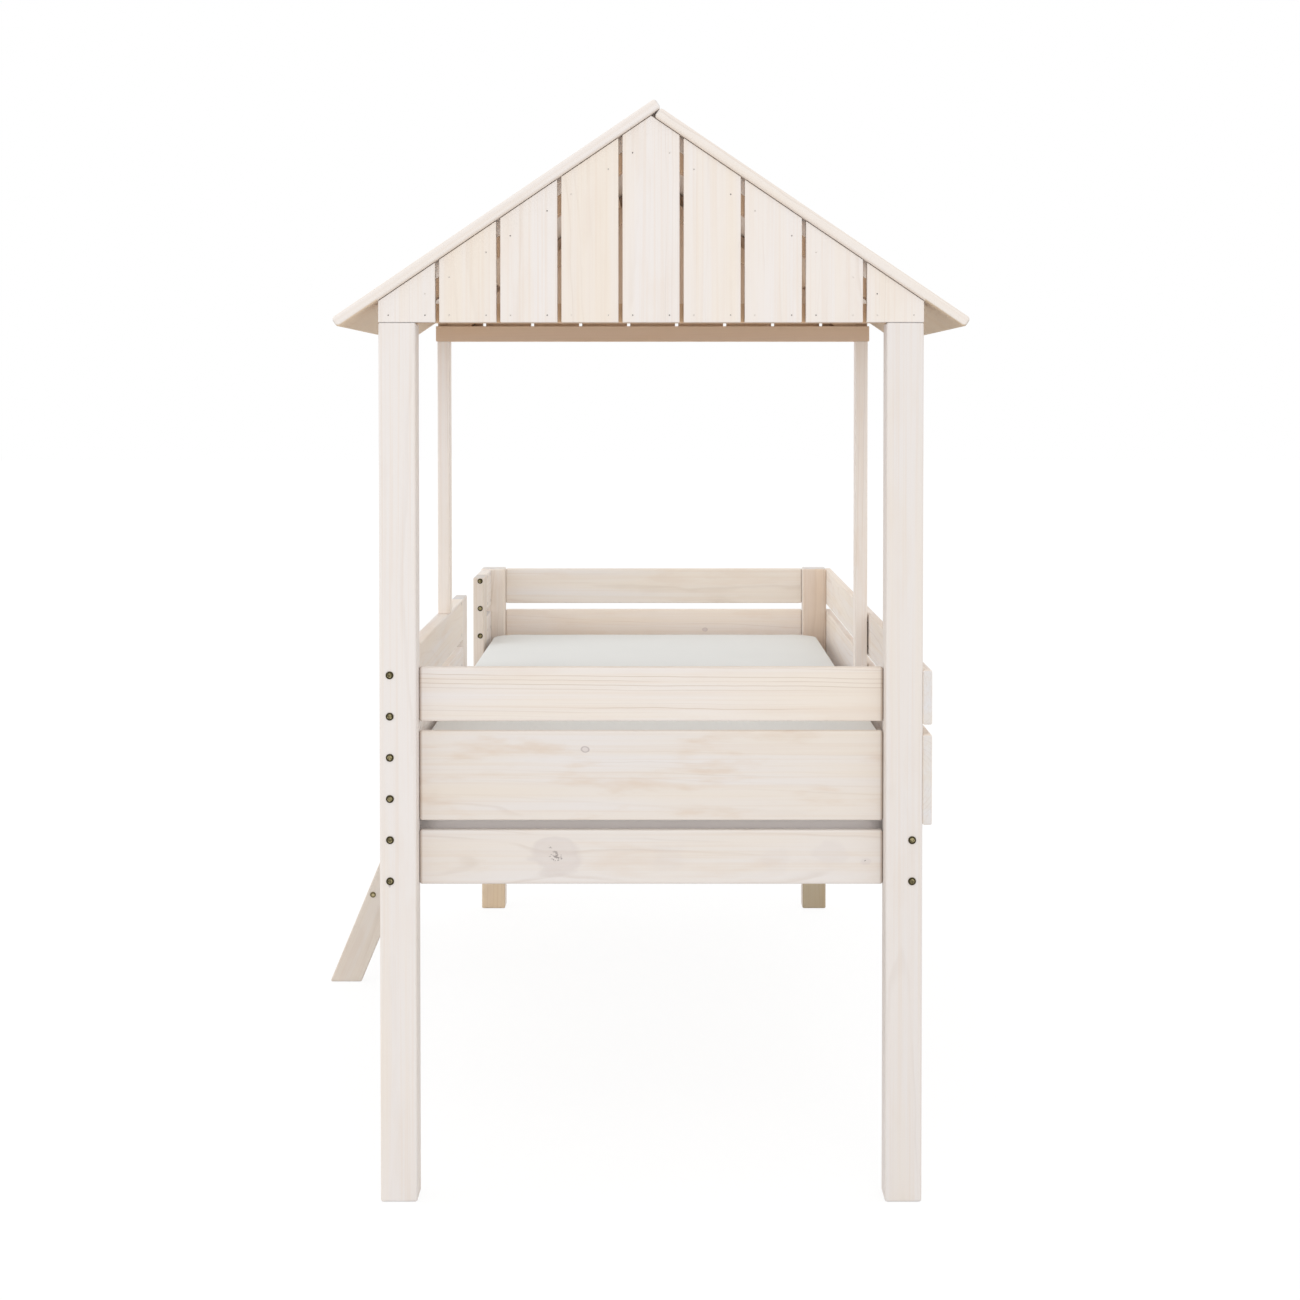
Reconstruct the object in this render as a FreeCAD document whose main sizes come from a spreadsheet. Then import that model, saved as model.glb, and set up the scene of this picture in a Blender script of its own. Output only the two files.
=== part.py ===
import FreeCAD, Part
import math
import os
from collections import defaultdict

import Sketcher

# A raised single bed for a child: a post frame with guard boards, a half-length gabled roof over the
# front end, a leaning ladder and a mattress. Millimetres, +Z up, the bed's front end towards -Y, the
# ladder on the -X side. The origin lies on the floor under the middle of the whole object's box.

doc = FreeCAD.newDocument("house_bed")
sheet = doc.addObject("Spreadsheet::Sheet", "Sizes")

DRIVING_SIZES = {
    # Post frame
    "bed_width": 972,
    "bed_length": 2125,
    "front_post_height": 1580,
    "rear_leg_rise": 3.5,
    "post_width": 66,
    "post_depth": 58,
    "post_rounding": 4.5,
    # Boards of the ends and sides
    "rail_bottom": 565,
    "narrow_board": 98,
    "wide_board": 162.4,
    "board_gap": 17.7,
    "side_thickness": 28,
    "end_thickness": 18,
    "outer_thickness": 17,
    "board_rounding": 3.5,
    "end_rounding": 5,
    "outer_top_rounding": 4,
    # Left guards and the way in between them
    "entry_width": 466,
    "rear_guard_length": 246,
    "guard_stile": 98,
    # Roof
    "roof_share": 0.466,
    "roof_pitch": 34.1,
    "roof_reveal": 1.3,
    "eave_reach": 83,
    "rake_overhang": 8,
    "ridge_clearance": 0.5,
    "panel_thickness": 20,
    "panel_rounding": 6,
    "gable_rise": 39,
    "gable_boards": 9,
    "gable_gap": 7.3,
    "gable_thickness": 18,
    "gable_rounding": 1.2,
    "roof_post_width": 27,
    "roof_post_inset": 3.3,
    "roof_post_depth": 43,
    "rear_beam_drop": 9,
    "beam_height": 34,
    "rafter_drop": 24,
    "rafter_width": 30,
    "rafter_thickness": 28,
    "batten_width": 60,
    # Mattress and its base
    "mattress_side_clearance": 8,
    "mattress_end_clearance": 4.5,
    "mattress_thickness": 140,
    "mattress_corner": 70,
    "mattress_roll": 10,
    "mattress_waist": 4,
    "mattress_crown": 3,
    "mattress_seat": 0.3,
    "mattress_shift": 4,
    "ledger_rise": 56,
    "ledger_height": 28,
    "ledger_width": 24,
    "ledger_screws": 5,
    "slat_count": 14,
    "slat_width": 70,
    "slat_thickness": 18,
    "slat_clearance": 3,
    # Ladder
    "ladder_lean": 22.6,
    "ladder_head": 36.7,
    "ladder_stile": 70.7,
    "ladder_thickness": 28,
    "ladder_clearance": 3,
    "tread_count": 2,
    "tread_drop": 4.5,
    "tread_depth": 70,
    "tread_thickness": 28,
    # Fasteners
    "fit_clearance": 0.2,
    "hole_overrun": 1,
    "bolt_diameter": 6,
    "bolt_inset": 12,
    "bolt_lift": 3,
    "bolt_set_in": 4.8,
    "bolt_head": 14,
    "bolt_head_height": 2.6,
    "bolt_bevel": 2.8,
    "bolt_socket": 6,
    "bolt_socket_depth": 1.8,
    "bolt_past_nut": 8,
    "nut_diameter": 10,
    "nut_length": 18,
    "nut_setback": 34,
    "ladder_nut_setback": 20,
    "ladder_bolt_drop": 14,
    "tread_bolt_inset": 13,
    "dowel_diameter": 8,
    "dowel_length": 50,
    "dowel_inset": 24,
    "nail_diameter": 2.4,
    "nail_length": 34,
    "nail_inset": 18,
    "nail_rise": 12.5,
    "nail_drop": 45,
    "screw_diameter": 4,
    "screw_length": 38,
    "screw_head": 8,
    "screw_head_height": 2.4,
    "screw_inset": 22,
}

for row, (alias, value) in enumerate(DRIVING_SIZES.items(), start=1):
    sheet.set(f"A{row}", alias)
    sheet.set(f"B{row}", str(value))
    sheet.setAlias(f"B{row}", alias)
doc.recompute()

# Places that several pieces share, as expressions on the sheet. X is measured from the bed's centre
# plane, Y from the front face of the front posts and Z from the floor.

SIDE = "(Sizes.bed_width / 2)"
SIDE_INNER = f"({SIDE} - Sizes.side_thickness)"
SIDE_MIDDLE = f"({SIDE} - Sizes.side_thickness / 2)"
SIDE_BOLT = f"({SIDE_MIDDLE} - Sizes.bolt_set_in)"
POST_INNER = f"({SIDE} - Sizes.post_width)"
OUTER_FACE = f"({SIDE} + Sizes.outer_thickness)"

POST_BACK = "Sizes.post_depth"
LEG_FRONT = "(Sizes.bed_length - Sizes.post_depth)"
REAR_STILE_FRONT = f"({LEG_FRONT} - Sizes.rear_guard_length)"
REAR_STILE_BACK = f"({REAR_STILE_FRONT} + Sizes.guard_stile)"
GUARD_END = f"({REAR_STILE_FRONT} - Sizes.entry_width)"
GUARD_STILE_FRONT = f"({GUARD_END} - Sizes.guard_stile)"

RAIL_TOP = "(Sizes.rail_bottom + Sizes.narrow_board)"
MIDDLE_BOTTOM = f"({RAIL_TOP} + Sizes.board_gap)"
MIDDLE_TOP = f"({MIDDLE_BOTTOM} + Sizes.wide_board)"
UPPER_BOTTOM = f"({MIDDLE_TOP} + Sizes.board_gap)"
UPPER_TOP = f"({UPPER_BOTTOM} + Sizes.narrow_board)"
BOARD_ROWS = {
    "lower": ("Sizes.rail_bottom", RAIL_TOP),
    "middle": (MIDDLE_BOTTOM, MIDDLE_TOP),
    "upper": (UPPER_BOTTOM, UPPER_TOP),
}
BOLT_SHIFT = "(Sizes.narrow_board / 2 - Sizes.bolt_inset)"

PITCH_SIN = "sin(Sizes.roof_pitch * 1 deg)"
PITCH_COS = "cos(Sizes.roof_pitch * 1 deg)"
PITCH_TAN = "tan(Sizes.roof_pitch * 1 deg)"
HOUSE_DEPTH = "(Sizes.bed_length * Sizes.roof_share)"
REAR_GABLE_FRONT = f"({HOUSE_DEPTH} - Sizes.gable_thickness)"
ROOF_POST_FRONT = f"({REAR_GABLE_FRONT} - Sizes.roof_post_depth)"
ROOF_POST_MIDDLE = f"({REAR_GABLE_FRONT} - Sizes.roof_post_depth / 2)"
GABLE_BOTTOM = "Sizes.front_post_height"
GABLE_PITCH = "((Sizes.bed_width + Sizes.gable_gap) / Sizes.gable_boards)"
ROOF_POST_TOP = f"({GABLE_BOTTOM} - Sizes.rear_beam_drop)"
BEAM_FEET = {"front": GABLE_BOTTOM, "rear": ROOF_POST_TOP}

LEDGER_TOP = "(Sizes.rail_bottom + Sizes.ledger_rise)"
SLAT_TOP = f"({LEDGER_TOP} + Sizes.slat_thickness)"

LEAN_COS = "cos(Sizes.ladder_lean * 1 deg)"
LEAN_TAN = "tan(Sizes.ladder_lean * 1 deg)"
LADDER_REACH = f"({RAIL_TOP} * {LEAN_TAN} + Sizes.ladder_head)"
LADDER_FOOT = f"(Sizes.ladder_stile / {LEAN_COS})"
TREAD_RISE = f"({RAIL_TOP} / (Sizes.tread_count + 1))"

CENTRE_X = f"({LADDER_REACH} - Sizes.eave_reach) / 2"
CENTRE_Y = "(Sizes.bed_length - Sizes.rake_overhang) / 2"

POST_BOLT = "(Sizes.post_depth + Sizes.nut_setback + Sizes.bolt_past_nut)"
STILE_BOLT = "(Sizes.guard_stile + Sizes.nut_setback + Sizes.bolt_past_nut)"
TREAD_BOLT = "(Sizes.ladder_thickness + Sizes.nut_setback + Sizes.bolt_past_nut)"
LADDER_BOLT = "(Sizes.side_thickness + Sizes.ladder_nut_setback + Sizes.bolt_past_nut)"

SIDES = {"left": -1, "right": 1}
X_AXIS, Y_AXIS, Z_AXIS = FreeCAD.Vector(1, 0, 0), FreeCAD.Vector(0, 1, 0), FreeCAD.Vector(0, 0, 1)
TURNS = {
    "+X": FreeCAD.Rotation(Y_AXIS, 90),
    "-X": FreeCAD.Rotation(Y_AXIS, -90),
    "+Y": FreeCAD.Rotation(X_AXIS, -90),
    "-Y": FreeCAD.Rotation(X_AXIS, 90),
    "+Z": FreeCAD.Rotation(),
}
# A barrel nut lies along Z with its thread along Y. These lay it along X or Y with the thread level.
NUT_TURNS = {
    "X": FreeCAD.Rotation(Y_AXIS, 90),
    "Y": FreeCAD.Rotation(FreeCAD.Vector(1, 1, 1), -120),
    "Z": FreeCAD.Rotation(),
}

# The number of a box's edge between its +X and +Z faces, and those of the edges round both its X faces
OUTER_TOP_EDGE = 6
END_EDGES = range(1, 9)

blanks = {}
holes = defaultdict(list)
groups = defaultdict(list)


def size(expression):
    """The number that an expression on the sheet comes to."""
    return float(sheet.evalExpression(expression))


def underside(reach):
    """Height of the roof's underside at a distance from the centre plane."""
    return f"({GABLE_BOTTOM} + Sizes.gable_rise + ({SIDE} - ({reach})) * {PITCH_TAN})"


def place(piece, x, y, z):
    """Bind a piece's place, given from the bed's own planes, in the object's frame."""
    piece.setExpression("Placement.Base.x", f"{CENTRE_X} + ({x})")
    piece.setExpression("Placement.Base.y", f"({y}) - {CENTRE_Y}")
    piece.setExpression("Placement.Base.z", z)


def turn(piece, rotation):
    piece.Placement = FreeCAD.Placement(FreeCAD.Vector(), rotation)


def sided(sign, distance):
    """A distance from the centre plane as a place on the side that the sign gives."""
    return distance if sign > 0 else f"-({distance})"


def mirrored(sign, near, far):
    """The span between two distances from the centre plane, on the side that the sign gives."""
    return (near, far) if sign > 0 else (f"-({far})", f"-({near})")


def rounded(label, base, rounding, others=None):
    """All twelve edges of a box or wedge eased by one radius, apart from those given one of their own."""
    eased = doc.addObject("Part::Fillet", f"{label}_eased")
    eased.Base = base
    radii = dict.fromkeys(range(1, 13), size(f"Sizes.{rounding}"))
    for edge, own_rounding in (others or {}).items():
        radii[edge] = size(f"Sizes.{own_rounding}")
    eased.Edges = [(edge, radius, radius) for edge, radius in radii.items()]
    return eased


def board(label, x, y, z, rounding="board_rounding", others=None):
    """A plain board between three pairs of planes, with eased edges."""
    box = doc.addObject("Part::Box", f"{label}_blank")
    box.setExpression("Length", f"({x[1]}) - ({x[0]})")
    box.setExpression("Width", f"({y[1]}) - ({y[0]})")
    box.setExpression("Height", f"({z[1]}) - ({z[0]})")
    place(box, x[0], y[0], z[0])
    blanks[label] = rounded(label, box, rounding, others)


def constrain_corner(outline, index, point, corner):
    """Hold one corner of an outline at its two expressions, or on the axis where one is zero."""
    held = (("DistanceX", -2, point.x, corner[0]), ("DistanceY", -1, point.y, corner[1]))
    for kind, axis, distance, expression in held:
        if expression == "0":
            outline.addConstraint(Sketcher.Constraint("PointOnObject", index, 1, axis))
            continue
        number = outline.addConstraint(Sketcher.Constraint(kind, -1, 1, index, 1, distance))
        outline.renameConstraint(number, f"{kind}_{index}")
        outline.setExpression(f"Constraints.{kind}_{index}", expression)


def outlined(label, corners, thickness, rounding):
    """A straight-sided outline in the XZ plane, padded towards +Y and eased on every edge."""
    body = doc.addObject("PartDesign::Body", f"{label}_body")
    outline = body.newObject("Sketcher::SketchObject", f"{label}_outline")
    plane = next(item for item in body.Origin.OriginFeatures if item.Role == "XZ_Plane")
    outline.AttachmentSupport = [(plane, "")]
    outline.MapMode = "FlatFace"
    points = [FreeCAD.Vector(size(across), size(up)) for across, up in corners]
    following = points[1:] + points[:1]
    for point, next_point in zip(points, following):
        outline.addGeometry(Part.LineSegment(point, next_point))
    for index in range(len(points)):
        next_index = (index + 1) % len(points)
        outline.addConstraint(Sketcher.Constraint("Coincident", index, 2, next_index, 1))
    for index, (point, corner) in enumerate(zip(points, corners)):
        constrain_corner(outline, index, point, corner)
    pad = body.newObject("PartDesign::Pad", f"{label}_pad")
    pad.Profile = outline
    pad.Reversed = True
    pad.setExpression("Length", thickness)
    doc.recompute()
    easing = body.newObject("PartDesign::Fillet", f"{label}_easing")
    easing.Base = (pad, [f"Edge{number}" for number in range(1, len(pad.Shape.Edges) + 1)])
    easing.setExpression("Radius", f"Sizes.{rounding}")
    blanks[label] = body
    return body


def drill(name, diameter, length, start, direction, through):
    """A round hole from a start point, cut later from each piece that it goes through."""
    hole = doc.addObject("Part::Cylinder", f"{name}_hole")
    hole.setExpression("Radius", f"{diameter} / 2 + Sizes.fit_clearance")
    hole.setExpression("Height", length)
    turn(hole, TURNS[direction])
    place(hole, *start)
    for label in through:
        holes[label].append(hole)


def fasten(group, name, master, start, rotation):
    """A copy of a master fastener in the node that gathers its kind."""
    copy = doc.addObject("App::Link", name)
    copy.LinkedObject = master
    turn(copy, rotation)
    place(copy, *start)
    groups[group].append(copy)


def cylinder(name, diameter, height, base="0"):
    body = doc.addObject("Part::Cylinder", name)
    body.setExpression("Radius", f"({diameter}) / 2")
    body.setExpression("Height", height)
    body.setExpression("Placement.Base.z", base)
    return body


def cone(name, diameter_low, diameter_high, height, base="0"):
    body = doc.addObject("Part::Cone", name)
    body.setExpression("Radius1", f"({diameter_low}) / 2")
    body.setExpression("Radius2", f"({diameter_high}) / 2")
    body.setExpression("Height", height)
    body.setExpression("Placement.Base.z", base)
    return body


def combine(kind, name, base, tool):
    result = doc.addObject(kind, name)
    result.Base = base
    result.Tool = tool
    return result


def bolt_master(name, length):
    """A flat-headed connecting bolt with a bevelled rim and a hexagon socket in its head."""
    rim = "(Sizes.bolt_head_height / 2)"
    plate = cylinder(f"{name}_plate", "Sizes.bolt_head", rim, f"-{rim}")
    face = "Sizes.bolt_head - 2 * Sizes.bolt_bevel"
    bevel = cone(f"{name}_bevel", face, "Sizes.bolt_head", rim, f"-2 * {rim}")
    shank = cylinder(f"{name}_shank", "Sizes.bolt_diameter", length)
    socket = doc.addObject("Part::Prism", f"{name}_socket")
    socket.Polygon = 6
    socket.setExpression("Circumradius", "Sizes.bolt_socket / 2")
    socket.setExpression("Height", "Sizes.bolt_socket_depth")
    socket.setExpression("Placement.Base.z", "-Sizes.bolt_head_height")
    head = combine("Part::Fuse", f"{name}_head", plate, bevel)
    whole = combine("Part::Fuse", f"{name}_whole", head, shank)
    return combine("Part::Cut", name, whole, socket)


def nut_master():
    """A barrel nut lying along Z, with the bolt's hole across its middle along Y."""
    barrel = cylinder("nut_barrel", "Sizes.nut_diameter", "Sizes.nut_length", "-Sizes.nut_length / 2")
    thread = cylinder("nut_thread", "Sizes.bolt_diameter + 2 * Sizes.fit_clearance", "2 * Sizes.nut_diameter")
    turn(thread, TURNS["+Y"])
    thread.setExpression("Placement.Base.y", "-Sizes.nut_diameter")
    return combine("Part::Cut", "barrel_nut", barrel, thread)


def screw_master():
    """A countersunk screw whose flat head lies in the surface that it starts from."""
    head = cone("screw_cone", "Sizes.screw_head", "Sizes.screw_diameter", "Sizes.screw_head_height")
    shank = cylinder("screw_shank", "Sizes.screw_diameter", "Sizes.screw_length")
    return combine("Part::Fuse", "countersunk_screw", head, shank)


MASTERS = {
    POST_BOLT: ("frame_bolts", bolt_master("post_bolt", POST_BOLT)),
    STILE_BOLT: ("frame_bolts", bolt_master("stile_bolt", STILE_BOLT)),
    TREAD_BOLT: ("ladder_bolts", bolt_master("tread_bolt", TREAD_BOLT)),
    LADDER_BOLT: ("ladder_bolts", bolt_master("ladder_bolt", LADDER_BOLT)),
}
barrel_nut = nut_master()
wood_screw = screw_master()
dowel = cylinder("dowel_pin", "Sizes.dowel_diameter", "Sizes.dowel_length")
nail = cylinder("finish_nail", "Sizes.nail_diameter", "Sizes.nail_length")


def bolted(name, length, seat, direction, through, held, nut, mouth, nut_direction, half_held):
    """A bolt through one piece into a barrel nut, which is let into the held piece from its mouth."""
    group, master = MASTERS[length]
    fasten(group, name, master, seat, TURNS[direction])
    drill(name, "Sizes.bolt_diameter", f"{length} + Sizes.hole_overrun", seat, direction, (through, held))
    fasten("barrel_nuts", f"{name}_nut", barrel_nut, nut, NUT_TURNS[nut_direction[1]])
    drill(f"{name}_nut", "Sizes.nut_diameter", f"{half_held} + Sizes.nut_length / 2", mouth, nut_direction,
          (held,))


def bolted_side_board(name, row, sign, length, seat_y, direction, joint_y, through, held):
    """Two bolts along the bed, one above the other, through an upright into a side board's end."""
    low, high = BOARD_ROWS[row]
    ahead = direction[0]
    nut_y = f"{joint_y} {ahead} Sizes.nut_setback"
    axis, inner = sided(sign, SIDE_BOLT), sided(sign, SIDE_INNER)
    outward = "+X" if sign > 0 else "-X"
    nut_depth = "(Sizes.side_thickness / 2 - Sizes.bolt_set_in)"
    for level, shift in (("bottom", "-"), ("top", "+")):
        height = f"(({low}) + ({high})) / 2 + Sizes.bolt_lift {shift} {BOLT_SHIFT}"
        bolted(f"{name}_{level}_bolt", length, (axis, seat_y, height), direction, through, held,
               (axis, nut_y, height), (inner, nut_y, height), outward, nut_depth)


def doweled(name, middle, axis, pair):
    """A dowel with half its length on each side of a joint."""
    index = "XYZ".index(axis)
    start, mouth = list(middle), list(middle)
    start[index] = f"({middle[index]}) - Sizes.dowel_length / 2"
    mouth[index] = f"{start[index]} - Sizes.hole_overrun"
    length = "Sizes.dowel_length + 2 * Sizes.hole_overrun"
    fasten("joint_dowels", name, dowel, start, TURNS[f"+{axis}"])
    drill(name, "Sizes.dowel_diameter", length, mouth, f"+{axis}", pair)


def screwed(name, seat, direction, pair):
    """A countersunk screw with its head flush in the first piece and its point in the second."""
    fasten("wood_screws", name, wood_screw, seat, TURNS[direction])
    drill(name, "Sizes.screw_diameter", "Sizes.screw_length + Sizes.hole_overrun", seat, direction, pair)
    wider = "2 * Sizes.fit_clearance"
    sink = cone(f"{name}_sink", f"Sizes.screw_head + {wider}", f"Sizes.screw_diameter + {wider}",
                "Sizes.screw_head_height")
    turn(sink, TURNS[direction])
    place(sink, *seat)
    holes[pair[0]].append(sink)


def build_posts():
    """Two tall front posts that carry the roof, and two short rear legs."""
    leg_top = f"({UPPER_TOP} + Sizes.rear_leg_rise)"
    for side, sign in SIDES.items():
        across = mirrored(sign, POST_INNER, SIDE)
        board(f"front_post_{side}", across, ("0", POST_BACK), ("0", GABLE_BOTTOM), "post_rounding")
        board(f"rear_leg_{side}", across, (LEG_FRONT, "Sizes.bed_length"), ("0", leg_top), "post_rounding")


def build_end_boards():
    """Three boards between the posts of each end, doweled into them."""
    ends = {"front": (POST_BACK, "front_post"), "rear": ("Sizes.bed_length", "rear_leg")}
    for end, (back, upright) in ends.items():
        middle = f"{back} - Sizes.end_thickness / 2"
        for row, (low, high) in BOARD_ROWS.items():
            label = f"{end}_end_{row}_board"
            depth = (f"{back} - Sizes.end_thickness", back)
            board(label, (f"-{POST_INNER}", POST_INNER), depth, (low, high),
                  others=dict.fromkeys(END_EDGES, "end_rounding"))
            heights = {"bottom": f"{low} + Sizes.dowel_inset", "top": f"{high} - Sizes.dowel_inset"}
            for side, sign in SIDES.items():
                for level, height in heights.items():
                    joint = (sided(sign, POST_INNER), middle, height)
                    doweled(f"{label}_{side}_{level}_dowel", joint, "X", (label, f"{upright}_{side}"))


def build_side_rails():
    """A lower rail along each side, bolted through the posts and legs."""
    for side, sign in SIDES.items():
        label = f"{side}_side_rail"
        board(label, mirrored(sign, SIDE_INNER, SIDE), (POST_BACK, LEG_FRONT), BOARD_ROWS["lower"])
        bolted_side_board(f"{label}_front", "lower", sign, POST_BOLT, "0", "+Y", POST_BACK,
                          f"front_post_{side}", label)
        bolted_side_board(f"{label}_rear", "lower", sign, POST_BOLT, "Sizes.bed_length", "-Y", LEG_FRONT,
                          f"rear_leg_{side}", label)


def build_left_guards():
    """The long guard from the front post and the short one at the rear leg, each ended by a stile."""
    sign = SIDES["left"]
    across = mirrored(sign, SIDE_INNER, SIDE)
    stiles = {
        "guard_stile": (GUARD_STILE_FRONT, GUARD_END),
        "rear_guard_stile": (REAR_STILE_FRONT, REAR_STILE_BACK),
    }
    for label, (front, back) in stiles.items():
        board(label, across, (front, back), (RAIL_TOP, UPPER_TOP))
        for part in ("1", "3"):
            along = f"{front} + Sizes.guard_stile * {part} / 4"
            foot = (sided(sign, SIDE_MIDDLE), along, RAIL_TOP)
            doweled(f"{label}_dowel_{part}", foot, "Z", (label, "left_side_rail"))
    for row in ("middle", "upper"):
        label = f"guard_{row}_board"
        board(label, across, (POST_BACK, GUARD_STILE_FRONT), BOARD_ROWS[row])
        bolted_side_board(f"{label}_front", row, sign, POST_BOLT, "0", "+Y", POST_BACK,
                          "front_post_left", label)
        bolted_side_board(f"{label}_stile", row, sign, STILE_BOLT, GUARD_END, "-Y", GUARD_STILE_FRONT,
                          "guard_stile", label)
        label = f"rear_guard_{row}_board"
        board(label, across, (REAR_STILE_BACK, LEG_FRONT), BOARD_ROWS[row])
        bolted_side_board(f"{label}_stile", row, sign, STILE_BOLT, REAR_STILE_FRONT, "+Y", REAR_STILE_BACK,
                          "rear_guard_stile", label)
        bolted_side_board(f"{label}_rear", row, sign, POST_BOLT, "Sizes.bed_length", "-Y", LEG_FRONT,
                          "rear_leg_left", label)


def build_right_boards():
    """Two full-length boards outside the right posts, screwed on from outside."""
    uprights = {
        "front_post_right": "Sizes.post_depth / 2",
        "roof_post_right": ROOF_POST_MIDDLE,
        "rear_leg_right": "Sizes.bed_length - Sizes.post_depth / 2",
    }
    for row in ("middle", "upper"):
        label = f"right_side_{row}_board"
        low, high = BOARD_ROWS[row]
        board(label, (SIDE, OUTER_FACE), ("0", "Sizes.bed_length"), (low, high),
              others={OUTER_TOP_EDGE: "outer_top_rounding"})
        heights = {"bottom": f"{low} + Sizes.screw_inset", "top": f"{high} - Sizes.screw_inset"}
        for upright, along in uprights.items():
            for level, height in heights.items():
                seat = (OUTER_FACE, along, height)
                screwed(f"{label}_{upright}_{level}_screw", seat, "-X", (label, upright))


def build_roof_posts():
    """Thin posts halfway along, just inside the bed's sides: on the left guard and the right rail."""
    feet = {"left": (UPPER_TOP, "guard_upper_board"), "right": (RAIL_TOP, "right_side_rail")}
    outer = f"({SIDE} - Sizes.roof_post_inset)"
    near = f"({outer} - Sizes.roof_post_width)"
    for side, (foot, carrier) in feet.items():
        sign = SIDES[side]
        label = f"roof_post_{side}"
        board(label, mirrored(sign, near, outer), (ROOF_POST_FRONT, REAR_GABLE_FRONT), (foot, ROOF_POST_TOP),
              "gable_rounding")
        middle = sided(sign, f"{outer} - Sizes.roof_post_width / 2")
        doweled(f"{label}_foot_dowel", (middle, ROOF_POST_MIDDLE, foot), "Z", (label, carrier))
        head = (middle, ROOF_POST_MIDDLE, ROOF_POST_TOP)
        doweled(f"{label}_head_dowel", head, "Z", (label, "rear_roof_beam"))


def build_beams():
    """A cross beam on the front posts and one on the thin posts, for the gables to stand against."""
    behind_gable = "(Sizes.gable_thickness + Sizes.roof_post_depth)"
    depths = {"front": ("Sizes.gable_thickness", behind_gable), "rear": (ROOF_POST_FRONT, REAR_GABLE_FRONT)}
    for end, depth in depths.items():
        foot = BEAM_FEET[end]
        height = (foot, f"{foot} + Sizes.beam_height")
        board(f"{end}_roof_beam", (f"-{SIDE}", SIDE), depth, height, "gable_rounding")
    for side, sign in SIDES.items():
        middle = sided(sign, f"{SIDE} - Sizes.post_width / 2")
        seat = (middle, "Sizes.gable_thickness + Sizes.roof_post_depth / 2", GABLE_BOTTOM)
        doweled(f"front_beam_{side}_dowel", seat, "Z", (f"front_post_{side}", "front_roof_beam"))


def build_rafters():
    """Rafters on each beam that meet at the centre plane, below the roof by the rafter drop."""
    fronts = {"front": "Sizes.gable_thickness", "rear": f"({REAR_GABLE_FRONT} - Sizes.rafter_thickness)"}
    for end, front in fronts.items():
        seat = f"({BEAM_FEET[end]} + Sizes.beam_height)"
        upper = f"({underside('0')} - Sizes.rafter_drop / {PITCH_COS} - {seat})"
        lower = f"({upper} - Sizes.rafter_width / {PITCH_COS})"
        corners = [
            ("0", upper),
            (f"{upper} / {PITCH_TAN}", "0"),
            (f"{lower} / {PITCH_TAN}", "0"),
            ("0", lower),
        ]
        for side, sign in SIDES.items():
            body = outlined(f"{end}_rafter_{side}", corners, "Sizes.rafter_thickness", "gable_rounding")
            if sign > 0:
                place(body, "0", front, seat)
            else:
                turn(body, FreeCAD.Rotation(Z_AXIS, 180))
                place(body, "0", f"{front} + Sizes.rafter_thickness", seat)


def sloped_board(label, sign, start, end, drop, thickness, y, rounding):
    """A board along the roof's slope, between two distances from the apex and a drop below the roof."""
    box = doc.addObject("Part::Box", f"{label}_blank")
    box.setExpression("Length", f"({end}) - ({start})")
    box.setExpression("Width", f"({y[1]}) - ({y[0]})")
    box.setExpression("Height", thickness)
    turn(box, FreeCAD.Rotation(Y_AXIS * sign, 1))
    box.setExpression("Placement.Rotation.Angle", "Sizes.roof_pitch * 1 deg")
    corner = start if sign > 0 else end
    reach = f"({corner}) * {PITCH_COS} - ({drop}) * {PITCH_SIN}"
    height = f"{underside(f'({corner}) * {PITCH_COS}')} - ({drop}) * {PITCH_COS}"
    place(box, sided(sign, reach), y[0], height)
    blanks[label] = rounded(label, box, rounding)


def build_roof():
    """Two roof panels, the left one lapping over the right at the ridge, on battens over the rafters.

    The right panel's rounded edge tucks under the left one. Each batten runs between the gables behind
    the middle of a gable board.
    """
    lap = f"(Sizes.panel_thickness / (2 * {PITCH_SIN}))"
    tuck = f"(Sizes.panel_rounding * (1 - {PITCH_TAN}) - Sizes.ridge_clearance)"
    butt = f"({lap} - Sizes.panel_thickness * {PITCH_SIN}) / {PITCH_COS} - {tuck}"
    eave = f"({SIDE} + Sizes.eave_reach - Sizes.panel_thickness * {PITCH_SIN}) / {PITCH_COS}"
    starts = {"left": f"-{lap} / {PITCH_COS}", "right": butt}
    depth = ("-Sizes.rake_overhang", f"{HOUSE_DEPTH} + Sizes.rake_overhang")
    batten_boards = {"upper": 1, "lower": 3}
    for side, sign in SIDES.items():
        sloped_board(f"roof_panel_{side}", sign, starts[side], eave, "0", "Sizes.panel_thickness", depth,
                     "panel_rounding")
        for level, boards_out in batten_boards.items():
            middle = f"({GABLE_PITCH} * {boards_out} / {PITCH_COS})"
            along = (f"{middle} - Sizes.batten_width / 2", f"{middle} + Sizes.batten_width / 2")
            sloped_board(f"roof_batten_{level}_{side}", sign, *along, "Sizes.rafter_drop",
                         "Sizes.rafter_drop", ("Sizes.gable_thickness", REAR_GABLE_FRONT), "gable_rounding")


def gable_top(reach):
    """Height of a gable board's top above its foot, at a distance from the centre plane."""
    return f"({underside(reach)} - Sizes.roof_reveal - {GABLE_BOTTOM})"


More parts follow.
